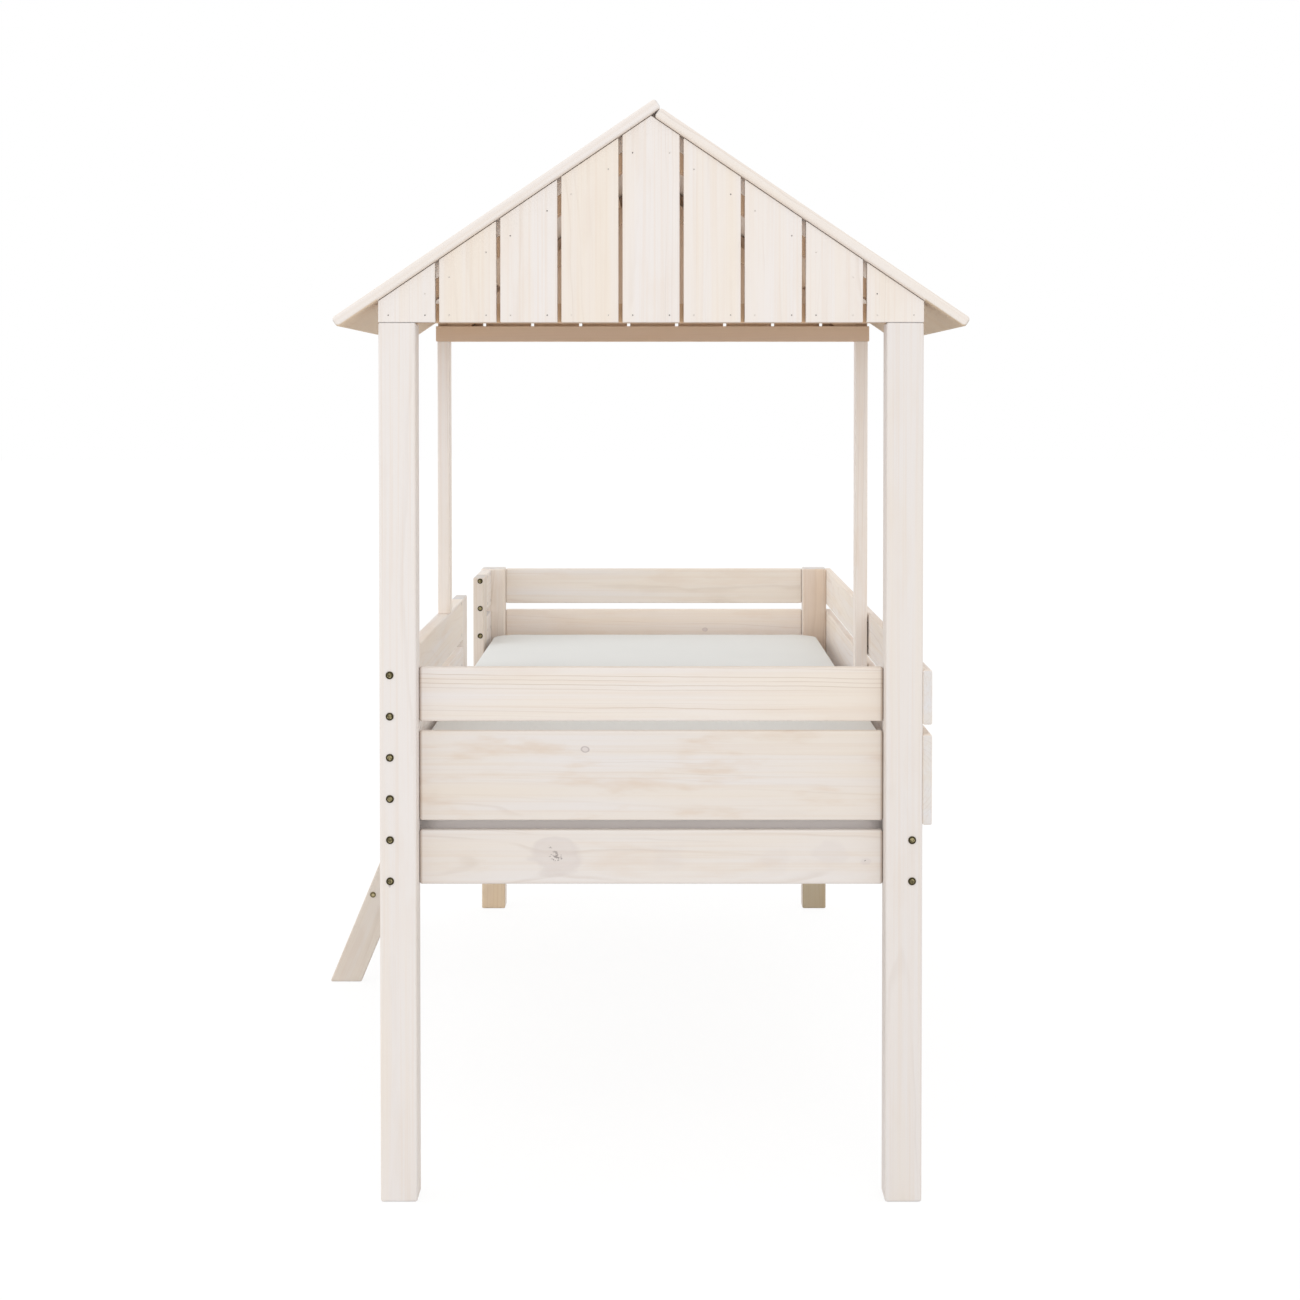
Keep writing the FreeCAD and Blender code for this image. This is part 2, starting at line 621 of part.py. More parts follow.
def peaked_board(label, low_x, high_x, front):
    """The gable board across the centre plane, cut to both slopes."""
    width, middle = f"(({high_x}) - ({low_x}))", f"(-({low_x}))"
    corners = [
        ("0", "0"),
        (width, "0"),
        (width, gable_top(high_x)),
        (middle, gable_top("0")),
        ("0", gable_top(middle)),
    ]
    body = outlined(label, corners, "Sizes.gable_thickness", "gable_rounding")
    place(body, low_x, front, GABLE_BOTTOM)


def slanted_board(label, low_x, high_x, front):
    """A gable board to one side of the centre plane: a wedge turned so that its width lies along X."""
    sign = 1 if size(low_x) >= 0 else -1
    wedge = doc.addObject("Part::Wedge", f"{label}_blank")
    for low in ("Xmin", "X2min", "Ymin", "Zmin", "Z2min"):
        setattr(wedge, low, 0)
    wedge.setExpression("Ymax", f"({high_x}) - ({low_x})")
    wedge.setExpression("Xmax", "Sizes.gable_thickness")
    wedge.setExpression("X2max", "Sizes.gable_thickness")
    wedge.setExpression("Zmax", gable_top(sided(sign, low_x)))
    wedge.setExpression("Z2max", gable_top(sided(sign, high_x)))
    turn(wedge, FreeCAD.Rotation(Z_AXIS, -90))
    place(wedge, low_x, f"{front} + Sizes.gable_thickness", GABLE_BOTTOM)
    blanks[label] = rounded(label, wedge, "gable_rounding")


def nailed(label, end, low_x, high_x):
    """Nails near both edges of a gable board: one row into the beam, one into the rafters."""
    face, direction = ("0", "+Y") if end == "front" else (HOUSE_DEPTH, "-Y")
    beam_top = f"({BEAM_FEET[end]} + Sizes.beam_height)"
    beam_row = f"{GABLE_BOTTOM} + Sizes.nail_rise"
    for edge, along in (("a", f"{low_x} + Sizes.nail_inset"), ("b", f"{high_x} - Sizes.nail_inset")):
        side, sign = ("right", 1) if size(along) > 0 else ("left", -1)
        slope_height = f"{underside(sided(sign, along))} - Sizes.nail_drop"
        rows = {f"{end}_roof_beam": beam_row}
        if size(slope_height) > size(f"{beam_top} + Sizes.nail_diameter"):
            rows[f"{end}_rafter_{side}"] = slope_height
        for carrier, height in rows.items():
            name = f"{label}_{carrier}_{edge}_nail"
            seat = (along, face, height)
            fasten("gable_nails", name, nail, seat, TURNS[direction])
            drill(name, "Sizes.nail_diameter", "Sizes.nail_length + Sizes.hole_overrun", seat, direction,
                  (label, carrier))


def build_gables():
    """A row of upright boards with narrow gaps, nailed to the front and the rear roof frame."""
    count = int(size("Sizes.gable_boards"))
    for end, front in (("front", "0"), ("rear", REAR_GABLE_FRONT)):
        for index in range(count):
            label = f"{end}_gable_board_{index + 1}"
            low_x = f"({GABLE_PITCH} * {index} - {SIDE})"
            high_x = f"({low_x} + {GABLE_PITCH} - Sizes.gable_gap)"
            shape = peaked_board if size(low_x) < 0 < size(high_x) else slanted_board
            shape(label, low_x, high_x, front)
            nailed(label, end, low_x, high_x)


def build_slats():
    """A ledger screwed inside each side rail, and the slats that lie across both."""
    near = f"({SIDE_INNER} - Sizes.ledger_width)"
    span = f"({LEG_FRONT} - {POST_BACK})"
    screw_count = int(size("Sizes.ledger_screws"))
    for side, sign in SIDES.items():
        label = f"slat_ledger_{side}"
        height = (f"{LEDGER_TOP} - Sizes.ledger_height", LEDGER_TOP)
        board(label, mirrored(sign, near, SIDE_INNER), (POST_BACK, LEG_FRONT), height, "gable_rounding")
        for number in range(1, screw_count + 1):
            along = f"{POST_BACK} + {span} * {number} / (Sizes.ledger_screws + 1)"
            seat = (sided(sign, near), along, f"{LEDGER_TOP} - Sizes.ledger_height / 2")
            outward = "+X" if sign > 0 else "-X"
            screwed(f"{label}_screw_{number}", seat, outward, (label, f"{side}_side_rail"))
    reach = f"({SIDE_INNER} - Sizes.slat_clearance)"
    for number in range(int(size("Sizes.slat_count"))):
        middle = f"({POST_BACK} + {span} * ({number} + 0.5) / Sizes.slat_count)"
        along = (f"{middle} - Sizes.slat_width / 2", f"{middle} + Sizes.slat_width / 2")
        board(f"slat_{number + 1}", (f"-{reach}", reach), along, (LEDGER_TOP, SLAT_TOP), "gable_rounding")


def rounded_rectangle(width, length, corner, height):
    """A closed outline of quarter arcs joined by lines, about the origin at a height."""
    inner_x, inner_y = width / 2 - corner, length / 2 - corner
    middles = [(inner_x, inner_y), (-inner_x, inner_y), (-inner_x, -inner_y), (inner_x, -inner_y)]
    arcs = [
        Part.makeCircle(corner, FreeCAD.Vector(x, y, height), Z_AXIS, 90 * quarter, 90 * quarter + 90)
        for quarter, (x, y) in enumerate(middles)
    ]
    edges = []
    for arc, next_arc in zip(arcs, arcs[1:] + arcs[:1]):
        edges.append(arc)
        edges.append(Part.makeLine(arc.Vertexes[-1].Point, next_arc.Vertexes[0].Point))
    return Part.Wire(edges)


def build_mattress():
    """A soft block: rolled top and bottom edges, sides drawn in at the waist and a crowned top."""
    width = size("Sizes.bed_width - 2 * (Sizes.side_thickness + Sizes.mattress_side_clearance)")
    length = size("Sizes.bed_length - 2 * (Sizes.post_depth + Sizes.mattress_end_clearance)")
    thickness, corner = size("Sizes.mattress_thickness"), size("Sizes.mattress_corner")
    roll, crown = size("Sizes.mattress_roll"), size("Sizes.mattress_crown")
    waist = size("Sizes.mattress_waist")
    shoulder = thickness - crown
    turns = [math.radians(degrees) for degrees in (30, 60, 90)]
    rolled = [(roll * (1 - math.sin(angle)), roll * (1 - math.cos(angle))) for angle in turns]
    levels = [(roll, 0)] + rolled + [(waist, shoulder / 2)]
    levels += [(inset, shoulder - rise) for inset, rise in reversed(rolled)] + [(roll, shoulder)]
    levels += [(width / 2 * part, thickness - crown * (1 - part) ** 2) for part in (0.3, 0.6, 0.9)]
    least_corner = corner / 4
    sections = [
        rounded_rectangle(width - 2 * inset, length - 2 * inset, max(corner - inset, least_corner), rise)
        for inset, rise in levels
    ]
    mattress = doc.addObject("Part::Feature", "mattress_form")
    mattress.Shape = Part.makeLoft(sections, True, True)
    place(mattress, "Sizes.mattress_shift", "Sizes.bed_length / 2", f"{SLAT_TOP} + Sizes.mattress_seat")
    blanks["mattress"] = mattress


def build_ladder():
    """Two leaning stiles against the left rail, with level treads bolted between them."""
    corners = [
        ("0", "0"),
        (LADDER_FOOT, "0"),
        (LADDER_REACH, f"({LADDER_REACH} - {LADDER_FOOT}) / {LEAN_TAN}"),
        (LADDER_REACH, RAIL_TOP),
        (f"{RAIL_TOP} * {LEAN_TAN}", RAIL_TOP),
    ]
    outer = f"(-{SIDE} - {LADDER_REACH})"
    half = "Sizes.ladder_thickness / 2"
    front_stile = f"({GUARD_END} + Sizes.ladder_clearance)"
    rear_stile = f"({REAR_STILE_FRONT} - Sizes.ladder_clearance - Sizes.ladder_thickness)"
    tread_span = (f"({front_stile} + Sizes.ladder_thickness)", rear_stile)
    rail_bolt_height = f"{RAIL_TOP} - Sizes.ladder_bolt_drop"
    stiles = {"front": (front_stile, tread_span[0], "-Y"), "rear": (rear_stile, tread_span[1], "+Y")}
    for end, (front, inner_face, outward) in stiles.items():
        label = f"ladder_stile_{end}"
        body = outlined(label, corners, "Sizes.ladder_thickness", "board_rounding")
        place(body, outer, front, "0")
        nut_x = f"-{SIDE} - Sizes.ladder_nut_setback"
        bolted(f"{label}_bolt", LADDER_BOLT, (f"-{SIDE_INNER}", f"{front} + {half}", rail_bolt_height), "-X",
               "left_side_rail", label, (nut_x, f"{front} + {half}", rail_bolt_height),
               (nut_x, inner_face, rail_bolt_height), outward, half)
    for number in range(1, int(size("Sizes.tread_count")) + 1):
        tread = f"ladder_tread_{number}"
        height = f"({number} * {TREAD_RISE} - Sizes.tread_drop)"
        middle = f"({outer} + {LADDER_FOOT} / 2 + {height} * {LEAN_TAN})"
        across = (f"{middle} - Sizes.tread_depth / 2", f"{middle} + Sizes.tread_depth / 2")
        foot = f"({height} - Sizes.tread_thickness / 2)"
        board(tread, across, tread_span, (foot, f"{height} + Sizes.tread_thickness / 2"))
        bolt_places = (f"{across[0]} + Sizes.tread_bolt_inset", f"{across[1]} - Sizes.tread_bolt_inset")
        for end, (front, inner_face, outward) in stiles.items():
            seat_y, inward = (front, "+Y") if end == "front" else (f"{front} + Sizes.ladder_thickness", "-Y")
            nut_y = f"{inner_face} {inward[0]} Sizes.nut_setback"
            for edge, along in zip(("outer", "inner"), bolt_places):
                bolted(f"{tread}_{end}_{edge}_bolt", TREAD_BOLT, (along, seat_y, height), inward,
                       f"ladder_stile_{end}", tread, (along, nut_y, height), (along, nut_y, foot), "+Z",
                       "Sizes.tread_thickness / 2")


def finished(label, blank):
    """The finished piece: its blank with every hole that its joints need."""
    piece = blank
    if holes[label]:
        tool = doc.addObject("Part::Compound", f"{label}_holes")
        tool.Links = holes[label]
        piece = combine("Part::Cut", f"{label}_drilled", blank, tool)
    piece.Label = label
    return piece


def gathered(label, members):
    """Pieces of one kind in a single node, as separate solids."""
    group = doc.addObject("Part::Compound", f"{label}_group")
    group.Links = members
    group.Label = label
    return group


build_posts()
build_end_boards()
build_side_rails()
build_left_guards()
build_right_boards()
build_roof_posts()
build_beams()
build_rafters()
build_roof()
build_gables()
build_slats()
build_mattress()
build_ladder()

nodes = {label: finished(label, blank) for label, blank in blanks.items()}
for group, stem in {"bed_slats": "slat_", "rear_gable_boards": "rear_gable_board_"}.items():
    members = [label for label in nodes if label.startswith(stem) and label[len(stem):].isdigit()]
    nodes[group] = gathered(group, [nodes.pop(label) for label in members])
for group, members in groups.items():
    nodes[group] = gathered(group, members)
doc.recompute()

for item in doc.Objects:
    if "Invalid" in item.State or "Error" in item.State:
        raise RuntimeError(f"{item.Label} failed: {item.State}")
for label, node in nodes.items():
    if node.Label != label or node.Shape.isNull() or not node.Shape.isValid():
        raise RuntimeError(f"{label} has no valid shape")

os.makedirs("parts", exist_ok=True)
for label, node in nodes.items():
    node.Shape.exportStep(f"parts/{label}.step")
print(f"{len(nodes)} nodes, {sum(len(node.Shape.Solids) for node in nodes.values())} solids")
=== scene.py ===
import math
import random

import bpy
import numpy as np
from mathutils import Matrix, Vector


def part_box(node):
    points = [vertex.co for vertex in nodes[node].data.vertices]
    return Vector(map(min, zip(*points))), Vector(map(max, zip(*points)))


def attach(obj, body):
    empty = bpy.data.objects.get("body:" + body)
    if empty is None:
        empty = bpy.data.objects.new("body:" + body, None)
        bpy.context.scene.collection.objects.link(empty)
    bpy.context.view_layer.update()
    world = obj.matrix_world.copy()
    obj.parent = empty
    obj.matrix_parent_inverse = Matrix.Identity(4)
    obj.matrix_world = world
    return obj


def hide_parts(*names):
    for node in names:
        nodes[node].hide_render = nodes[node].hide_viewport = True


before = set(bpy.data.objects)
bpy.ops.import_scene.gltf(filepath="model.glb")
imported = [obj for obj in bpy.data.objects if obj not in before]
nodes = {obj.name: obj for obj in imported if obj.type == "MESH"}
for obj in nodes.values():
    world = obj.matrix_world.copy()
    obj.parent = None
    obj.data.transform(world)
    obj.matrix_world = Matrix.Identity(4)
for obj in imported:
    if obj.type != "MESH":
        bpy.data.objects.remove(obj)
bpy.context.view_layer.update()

# A child's raised single bed in whitewashed pine. The frame is in metres: +Z up, the roofed end towards
# -Y, the ladder towards -X.

# Sizes of the bed that the finishes follow
ROOF_PITCH = math.radians(34.1)
LADDER_SLOPE = math.radians(67.4)
STILE_HALF_LENGTH, STILE_HALF_WIDTH = 0.36, 0.035
BED_MIDDLE = 0.11484
BED_SIDE = 0.486  # from the middle to the outer face of a post
POST_INNER_FACE = 0.420  # from the middle to the inner face of a front post
RAIL_BOTTOM = 0.565
SLAT_SPACING = 2.009 / 14
GABLE_BOARD_SPACING = (0.972 + 0.0073) / 9
ROOF_BOARD_SPACING = 0.112

# Colours of the whitewashed pine, from the milky face to the wood under it
LILAC_WHITE = (0.858, 0.814, 0.789)
CREAM_WHITE = (0.867, 0.789, 0.706)
BLOTCH_TAN = (0.795, 0.675, 0.572)
LINE_BROWN = (0.540, 0.420, 0.330)
KNOT_LILAC = (0.690, 0.620, 0.610)
KNOT_GREY = (0.480, 0.420, 0.410)
KNOT_BROWN = (0.200, 0.165, 0.155)
PLAIN_WOOD = (0.590, 0.400, 0.250)
# Painted shade: the next six tints darken the gables' inner faces, the roof's underside, a rear leg's front,
# and the lit tops of the right side boards down to the shade of their inner faces
GABLE_BACK_SHADE = (0.888, 0.760, 0.640, 1.0)
CEILING_SHADE = (0.965, 0.925, 0.888, 1.0)
LEFT_EAVE_SHADE = (0.86, 0.74, 0.59, 1.0)
RIGHT_EAVE_SHADE = (0.74, 0.63, 0.49, 1.0)
LEG_FRONT_SHADE = (0.930, 0.850, 0.775, 1.0)
OUTER_TOP_SHADE = (0.92, 0.89, 0.86, 1.0)
BORDER_TINT = (1.0, 0.93, 0.93, 1.0)
# Painted shade: the tint of the posts' shadows and of the shade in joints at board ends
JOINT_SHADE_TINT = (0.62, 0.56, 0.52, 1.0)
END_TINT = (0.84, 0.87, 0.91, 1.0)

# How pine is cut: ranges of the pith's place (in half widths across, and in metres behind the face), of the
# slope of the grain and of the ring spacing, and how far apart boards lie in the same noise
PITH_ACROSS, PITH_BEHIND = (0.2, 1.2), (0.04, 0.12)
GRAIN_SLOPE = 0.02
RING_SPACING = (0.006, 0.010)
SEED_REACH = 30
CELL_STEP = 1.37
KNOT_SQUASH_ALONG, KNOT_SQUASH_THROUGH = 0.72, 0.05
KNOT_BEND = 0.3

# How strongly the usual marks of pine show
CLOUD_SHARE, STREAK_SHARE = 0.7, 0.6
THREAD_SHARE, FIBRE_SHARE, EDGE_SHARE = 0.28, 0.16, 0.18
EDGE_REACH = 0.0035
WOOD_ROUGHNESS, FIBRE_ROUGHNESS = 0.50, 0.18
WOOD_SPECULAR = 0.3

# The mattress and its cover
STITCH = 0.0024
COVER_PALE = (0.798, 0.812, 0.798, 1)
COVER_DULL = (0.758, 0.771, 0.758, 1)
COVER_STITCH = (0.66, 0.67, 0.66, 1)
MATTRESS_CROWN = 0.002
COVER_TRAVEL = 0.003  # the most that the cover moves as it swells
SWELL_FRAMES = 20
EDGE_ROWS = np.array([0.0, 0.35, 0.7, 1.0])  # of the rolled edge
BEND_ROWS = np.array([0.33, 0.67])  # from the rolled edge to the end of the corner
SIDE_ROWS = np.array([-0.62, -0.3, -0.09, -0.045, 0.0, 0.045, 0.09, 0.3, 0.62])  # of half the height
ROWS_ACROSS, ROWS_ALONG = 36, 86
SEAM_WIDTH = 0.003

# Stage, with the frame and the lens of the photograph in its pixels
FLOOR_REACH, FLOOR_LEVEL = 40.0, -0.0004
FLOOR_PALE, WHITE = (0.80, 0.80, 0.80, 1), (1, 1, 1, 1)
FLOOR_GLOW, FLOOR_SHADOWS = 1.03, 0.14
SKY_COLOUR, SKY_STRENGTH = (1.0, 0.99, 0.98, 1), 0.96
PHOTO_SIDE, FOCAL_LENGTH, LENS_SHIFT = 1300, 2007, (-8.5, -211.0)
SENSOR_WIDTH = 36.0
CAMERA_PLACE, CAMERA_DIP = (0.1281, -4.6345, 1.4495), 1.24
# Lamps, as (name, place, target, size, power)
LAMPS = (
    ("front_softbox", (1.3, -8.5, 2.4), (0.1, -1.0, 1.0), 2.5, 38),
    ("high_softbox", (1.6, -6.0, 6.4), (0.1, -1.0, 1.0), 2.0, 36),
    ("left_softbox", (-5.0, -0.9, 2.6), (0.1, -0.1, 1.0), 4.0, 40),
)


# Node helpers


def plug(tree, value, socket):
    """Link an output socket to an input, or set a plain value on it."""
    if isinstance(value, bpy.types.NodeSocket):
        tree.links.new(value, socket)
    else:
        socket.default_value = value


def add(tree, kind, inputs=None, **settings):
    """A new shader node with its settings and inputs."""
    made = tree.nodes.new(kind)
    for name, value in settings.items():
        setattr(made, name, value)
    for key, value in (inputs or {}).items():
        plug(tree, value, made.inputs[key])
    return made


def calc(tree, operation, *values):
    """One scalar operation."""
    return add(tree, "ShaderNodeMath", dict(enumerate(values)), operation=operation).outputs[0]


def vec(tree, operation, *values):
    """One vector operation."""
    made = add(tree, "ShaderNodeVectorMath", dict(enumerate(values)), operation=operation)
    return made.outputs["Value" if operation in ("LENGTH", "DOT_PRODUCT") else "Vector"]


def times(tree, vector, amount):
    """A vector times one number."""
    return add(tree, "ShaderNodeVectorMath", {0: vector, "Scale": amount}, operation="SCALE").outputs["Vector"]


def split(tree, vector):
    """The X, Y and Z of a vector."""
    return add(tree, "ShaderNodeSeparateXYZ", {0: vector}).outputs


def step(tree, value, low, high):
    """A smooth step from 0 at low to 1 at high, or from 1 down to 0 where low is above high."""
    start, end = (0.0, 1.0) if low < high else (1.0, 0.0)
    ranges = {"From Min": min(low, high), "From Max": max(low, high), "To Min": start, "To Max": end}
    made = add(tree, "ShaderNodeMapRange", {"Value": value, **ranges}, interpolation_type="SMOOTHSTEP")
    return made.outputs["Result"]


def blend(tree, amount, first, second, kind="MIX"):
    """Two colours mixed by an amount."""
    made = add(tree, "ShaderNodeMix", data_type="RGBA", blend_type=kind)
    plug(tree, amount, made.inputs["Factor"])
    colours = [socket for socket in made.inputs if socket.type == "RGBA"]
    plug(tree, first, colours[0])
    plug(tree, second, colours[1])
    return next(socket for socket in made.outputs if socket.type == "RGBA")


def noise(tree, place, stretch, detail=2.0, roughness=0.5, output=0):
    """Smooth noise, from 0 to 1, with its cells stretched along the axes, or three such as a colour."""
    inputs = {"Vector": vec(tree, "MULTIPLY", place, stretch), "Scale": 1.0, "Detail": detail,
              "Roughness": roughness}
    return add(tree, "ShaderNodeTexNoise", inputs).outputs[output]


def new_group(name, inputs, outputs):
    """An empty shader node group with named sockets, given as (name, kind, default)."""
    tree = bpy.data.node_groups.new(name, "ShaderNodeTree")
    for label, kind, default in inputs:
        socket = tree.interface.new_socket(label, in_out="INPUT", socket_type=f"NodeSocket{kind}")
        socket.default_value = default
    for label, kind in outputs:
        tree.interface.new_socket(label, in_out="OUTPUT", socket_type=f"NodeSocket{kind}")
    return tree, tree.nodes.new("NodeGroupInput").outputs, tree.nodes.new("NodeGroupOutput").inputs


def use_group(tree, group, inputs):
    """The outputs of a shared effect with these inputs."""
    made = add(tree, "ShaderNodeGroup", node_tree=group)
    for key, value in inputs.items():
        plug(tree, value, made.inputs[key])
    return made.outputs


def seen_directly(tree):
    """1 for a ray from the camera or by way of a mirror or glass, and 0 for light on its way to a surface."""
    paths = add(tree, "ShaderNodeLightPath").outputs
    bent = calc(tree, "MAXIMUM", paths["Is Glossy Ray"], paths["Is Transmission Ray"])
    return calc(tree, "MAXIMUM", paths["Is Camera Ray"], bent)


# Shared effects


def grain_group():
    """Sawn pine as a solid: growth rings about a pith line, slow bands, blotches and fibres.

    With a point p in the board's own axes, x along the grain, the ring number is the distance of
    (y, z) from the pith line, plus a slow warp and the push of a knot, over the ring spacing. A ring ends
    in a thin line. A random number for the ring and a noise along it say where the line shows.
    """
    tree, given, out = new_group(
        "pine_grain",
        [("Position", "Vector", (0, 0, 0)), ("Seed", "Vector", (0, 0, 0)), ("Pith", "Vector", (0, 0, 0)),
         ("Tilt", "Vector", (0, 0, 0)), ("Ring", "Float", 0.009), ("Push", "Float", 0.0),
         ("Sway", "Float", 0.03)],
        [("Line", "Float"), ("Fibre", "Float"), ("Streak", "Float"), ("Thread", "Float"), ("Blotch", "Float"),
         ("Cloud", "Float")],
    )
    place = given["Position"]
    shifted = vec(tree, "ADD", place, given["Seed"])
    half = (0.5, 0.5, 0.5)
    slow = vec(tree, "SUBTRACT", noise(tree, shifted, (1.3, 5, 5), output="Color"), half)
    quick = vec(tree, "SUBTRACT", noise(tree, shifted, (8, 28, 28), output="Color"), half)
    ripple = vec(tree, "MULTIPLY", quick, (0, 0.005, 0.005))
    warped = vec(tree, "ADD", place, vec(tree, "ADD", times(tree, slow, given["Sway"]), ripple))
    leaning = vec(tree, "ADD", warped, times(tree, given["Tilt"], split(tree, place)["X"]))
    about_pith = vec(tree, "SUBTRACT", leaning, given["Pith"])
    distance = vec(tree, "LENGTH", vec(tree, "MULTIPLY", about_pith, (0, 1, 1)))
    turns = calc(tree, "DIVIDE", calc(tree, "ADD", distance, given["Push"]), given["Ring"])
    phase = calc(tree, "FRACT", turns)
    chance = add(tree, "ShaderNodeTexWhiteNoise", {"W": calc(tree, "FLOOR", turns)},
                 noise_dimensions="1D").outputs["Value"]
    line = calc(tree, "SUBTRACT", step(tree, phase, 0.70, 0.90), step(tree, phase, 0.91, 1.0))
    shows = calc(tree, "MULTIPLY", step(tree, chance, 0.1, 0.75),
                 step(tree, noise(tree, shifted, (2.6, 50, 50)), 0.38, 0.58))
    plug(tree, calc(tree, "MULTIPLY", line, shows), out["Line"])
    plug(tree, noise(tree, shifted, (11, 620, 620), 3.0, 0.6), out["Fibre"])
    plug(tree, step(tree, noise(tree, shifted, (0.8, 36, 36)), 0.30, 0.70), out["Streak"])
    plug(tree, step(tree, noise(tree, shifted, (1.6, 190, 190)), 0.45, 0.72), out["Thread"])
    plug(tree, step(tree, noise(tree, shifted, (5.0, 22, 22), 4.0, 0.55), 0.50, 0.70), out["Blotch"])
    plug(tree, step(tree, noise(tree, shifted, (1.6, 8, 8)), 0.30, 0.70), out["Cloud"])
    return tree


def knot_group():
    """One knot through a board: a soft patch, a ring, a cracked heart and the push it gives the rings.

    The distance from the knot's place, squashed along the grain and hardly counted through the board, is
    taken over its size. A little noise makes the outline uneven.
    """
    tree, given, out = new_group(
        "pine_knot",
        [("Position", "Vector", (0, 0, 0)), ("Place", "Vector", (0, 0, 0)), ("Squash", "Vector", (1, 1, 1)),
         ("Size", "Float", 0.01)],
        [("Patch", "Float"), ("Ring", "Float"), ("Heart", "Float"), ("Push", "Float")],
    )
    offset = vec(tree, "MULTIPLY", vec(tree, "SUBTRACT", given["Position"], given["Place"]), given["Squash"])
    distance = calc(tree, "DIVIDE", vec(tree, "LENGTH", offset), given["Size"])
    uneven = noise(tree, given["Position"], (22, 44, 44), 3.0)
    ragged = calc(tree, "ADD", distance, calc(tree, "MULTIPLY_ADD", uneven, 1.5, -0.75))
    cracks = step(tree, noise(tree, given["Position"], (210, 260, 260)), 0.50, 0.58)
    ring = calc(tree, "SUBTRACT", step(tree, ragged, 0.55, 0.8), step(tree, ragged, 0.85, 1.1))
    plug(tree, step(tree, ragged, 1.15, 0.65), out["Patch"])
    plug(tree, ring, out["Ring"])
    plug(tree, calc(tree, "MULTIPLY", step(tree, ragged, 0.34, 0.22), cracks), out["Heart"])
    bell = calc(tree, "EXPONENT", calc(tree, "MULTIPLY", calc(tree, "POWER", distance, 2.0), -0.5))
    plug(tree, calc(tree, "MULTIPLY", bell, given["Size"]), out["Push"])
    return tree


def edge_group():
    """How near a point of a board's surface is to an edge, from 0 on a face to 1 on the edge.

    The depths below the three pairs of faces are sorted: the least is the face itself, and the second
    least is the way to the nearest edge.
    """
    tree, given, out = new_group(
        "board_edges",
        [("Position", "Vector", (0, 0, 0)), ("Half Size", "Vector", (1, 1, 1)), ("Reach", "Float", 0.006)],
        [("Edge", "Float")],
    )
    depth = vec(tree, "SUBTRACT", given["Half Size"], vec(tree, "ABSOLUTE", given["Position"]))
    parts = split(tree, depth)
    low = calc(tree, "MINIMUM", parts["X"], parts["Y"])
    high = calc(tree, "MAXIMUM", parts["X"], parts["Y"])
    second = calc(tree, "MINIMUM", high, calc(tree, "MAXIMUM", low, parts["Z"]))
    ragged = calc(tree, "MULTIPLY", noise(tree, given["Position"], (90, 90, 90)), 0.004)
    nearness = calc(tree, "DIVIDE", calc(tree, "ADD", second, ragged), given["Reach"])
    plug(tree, step(tree, nearness, 1.0, 0.2), out["Edge"])
    return tree


def knit_group():
    """A fine knitted cover: rows of loops from two crossed waves, with slow soft shading."""
    tree, given, out = new_group(
        "knit", [("Position", "Vector", (0, 0, 0)), ("Stitch", "Float", 0.0022)],
        [("Loop", "Float"), ("Patch", "Float"), ("Fluff", "Float")],
    )
    turns = times(tree, given["Position"], calc(tree, "DIVIDE", 2 * math.pi, given["Stitch"]))
    parts = split(tree, turns)
    side = calc(tree, "ADD", parts["X"], parts["Z"])
    column = calc(tree, "ABSOLUTE", calc(tree, "SINE", side))
    slant = calc(tree, "ADD", parts["Y"], calc(tree, "MULTIPLY", column, 1.6))
    row = calc(tree, "SINE", slant)
    loop = calc(tree, "MULTIPLY_ADD", calc(tree, "MULTIPLY", row, column), 0.5, 0.5)
    plug(tree, loop, out["Loop"])
    plug(tree, noise(tree, given["Position"], (5, 5, 5)), out["Patch"])
    plug(tree, noise(tree, given["Position"], (900, 900, 900)), out["Fluff"])
    return tree


GRAIN, KNOT, EDGES, KNIT = grain_group(), knot_group(), edge_group(), knit_group()


# Materials


def new_material(name):
    """An empty material with its node tree and its Principled shader."""
    material = bpy.data.materials.new(name)
    material.use_nodes = True
    tree = material.node_tree
    shader = next(item for item in tree.nodes if item.type == "BSDF_PRINCIPLED")
    return material, tree, shader


class Board:
    """A board's middle, the turn that takes X to its grain, its half sizes, its thin axis and its grain."""

    def __init__(self, name):
        low, high = (np.array(corner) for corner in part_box(name))
        self.middle = (low + high) / 2
        spans = high - low
        self.turn = (0.0, 0.0, 0.0)
        if name.startswith("roof_panel") or "rafter" in name:
            side = 1 if name.endswith("right") else -1
            self.turn = (0.0, side * ROOF_PITCH, 0.0)
            sine, cosine = math.sin(ROOF_PITCH), math.cos(ROOF_PITCH)
            spread = cosine ** 2 - sine ** 2
            length = (spans[0] * cosine - spans[2] * sine) / spread
            thickness = (spans[2] * cosine - spans[0] * sine) / spread
            self.half = np.array([length, spans[1], thickness]) / 2
        elif name.startswith("ladder_stile"):
            self.turn = (0.0, -LADDER_SLOPE, 0.0)
            self.half = np.array([STILE_HALF_LENGTH, spans[1] / 2, STILE_HALF_WIDTH])
        else:
            longest = int(np.argmax(spans))
            axis = 2 if "gable" in name else 0 if name == "bed_slats" else longest
            if axis == 1:
                self.turn = (0.0, 0.0, math.radians(90))
                spans = spans[[1, 0, 2]]
            elif axis == 2:
                self.turn = (0.0, math.radians(-90), 0.0)
                spans = spans[[2, 1, 0]]
            self.half = spans / 2
        self.thin = 1 if self.half[1] < self.half[2] else 2
        _, about_y, about_z = self.turn
        self.grain = (math.cos(about_z) * math.cos(about_y), math.sin(about_z), -math.sin(about_y))


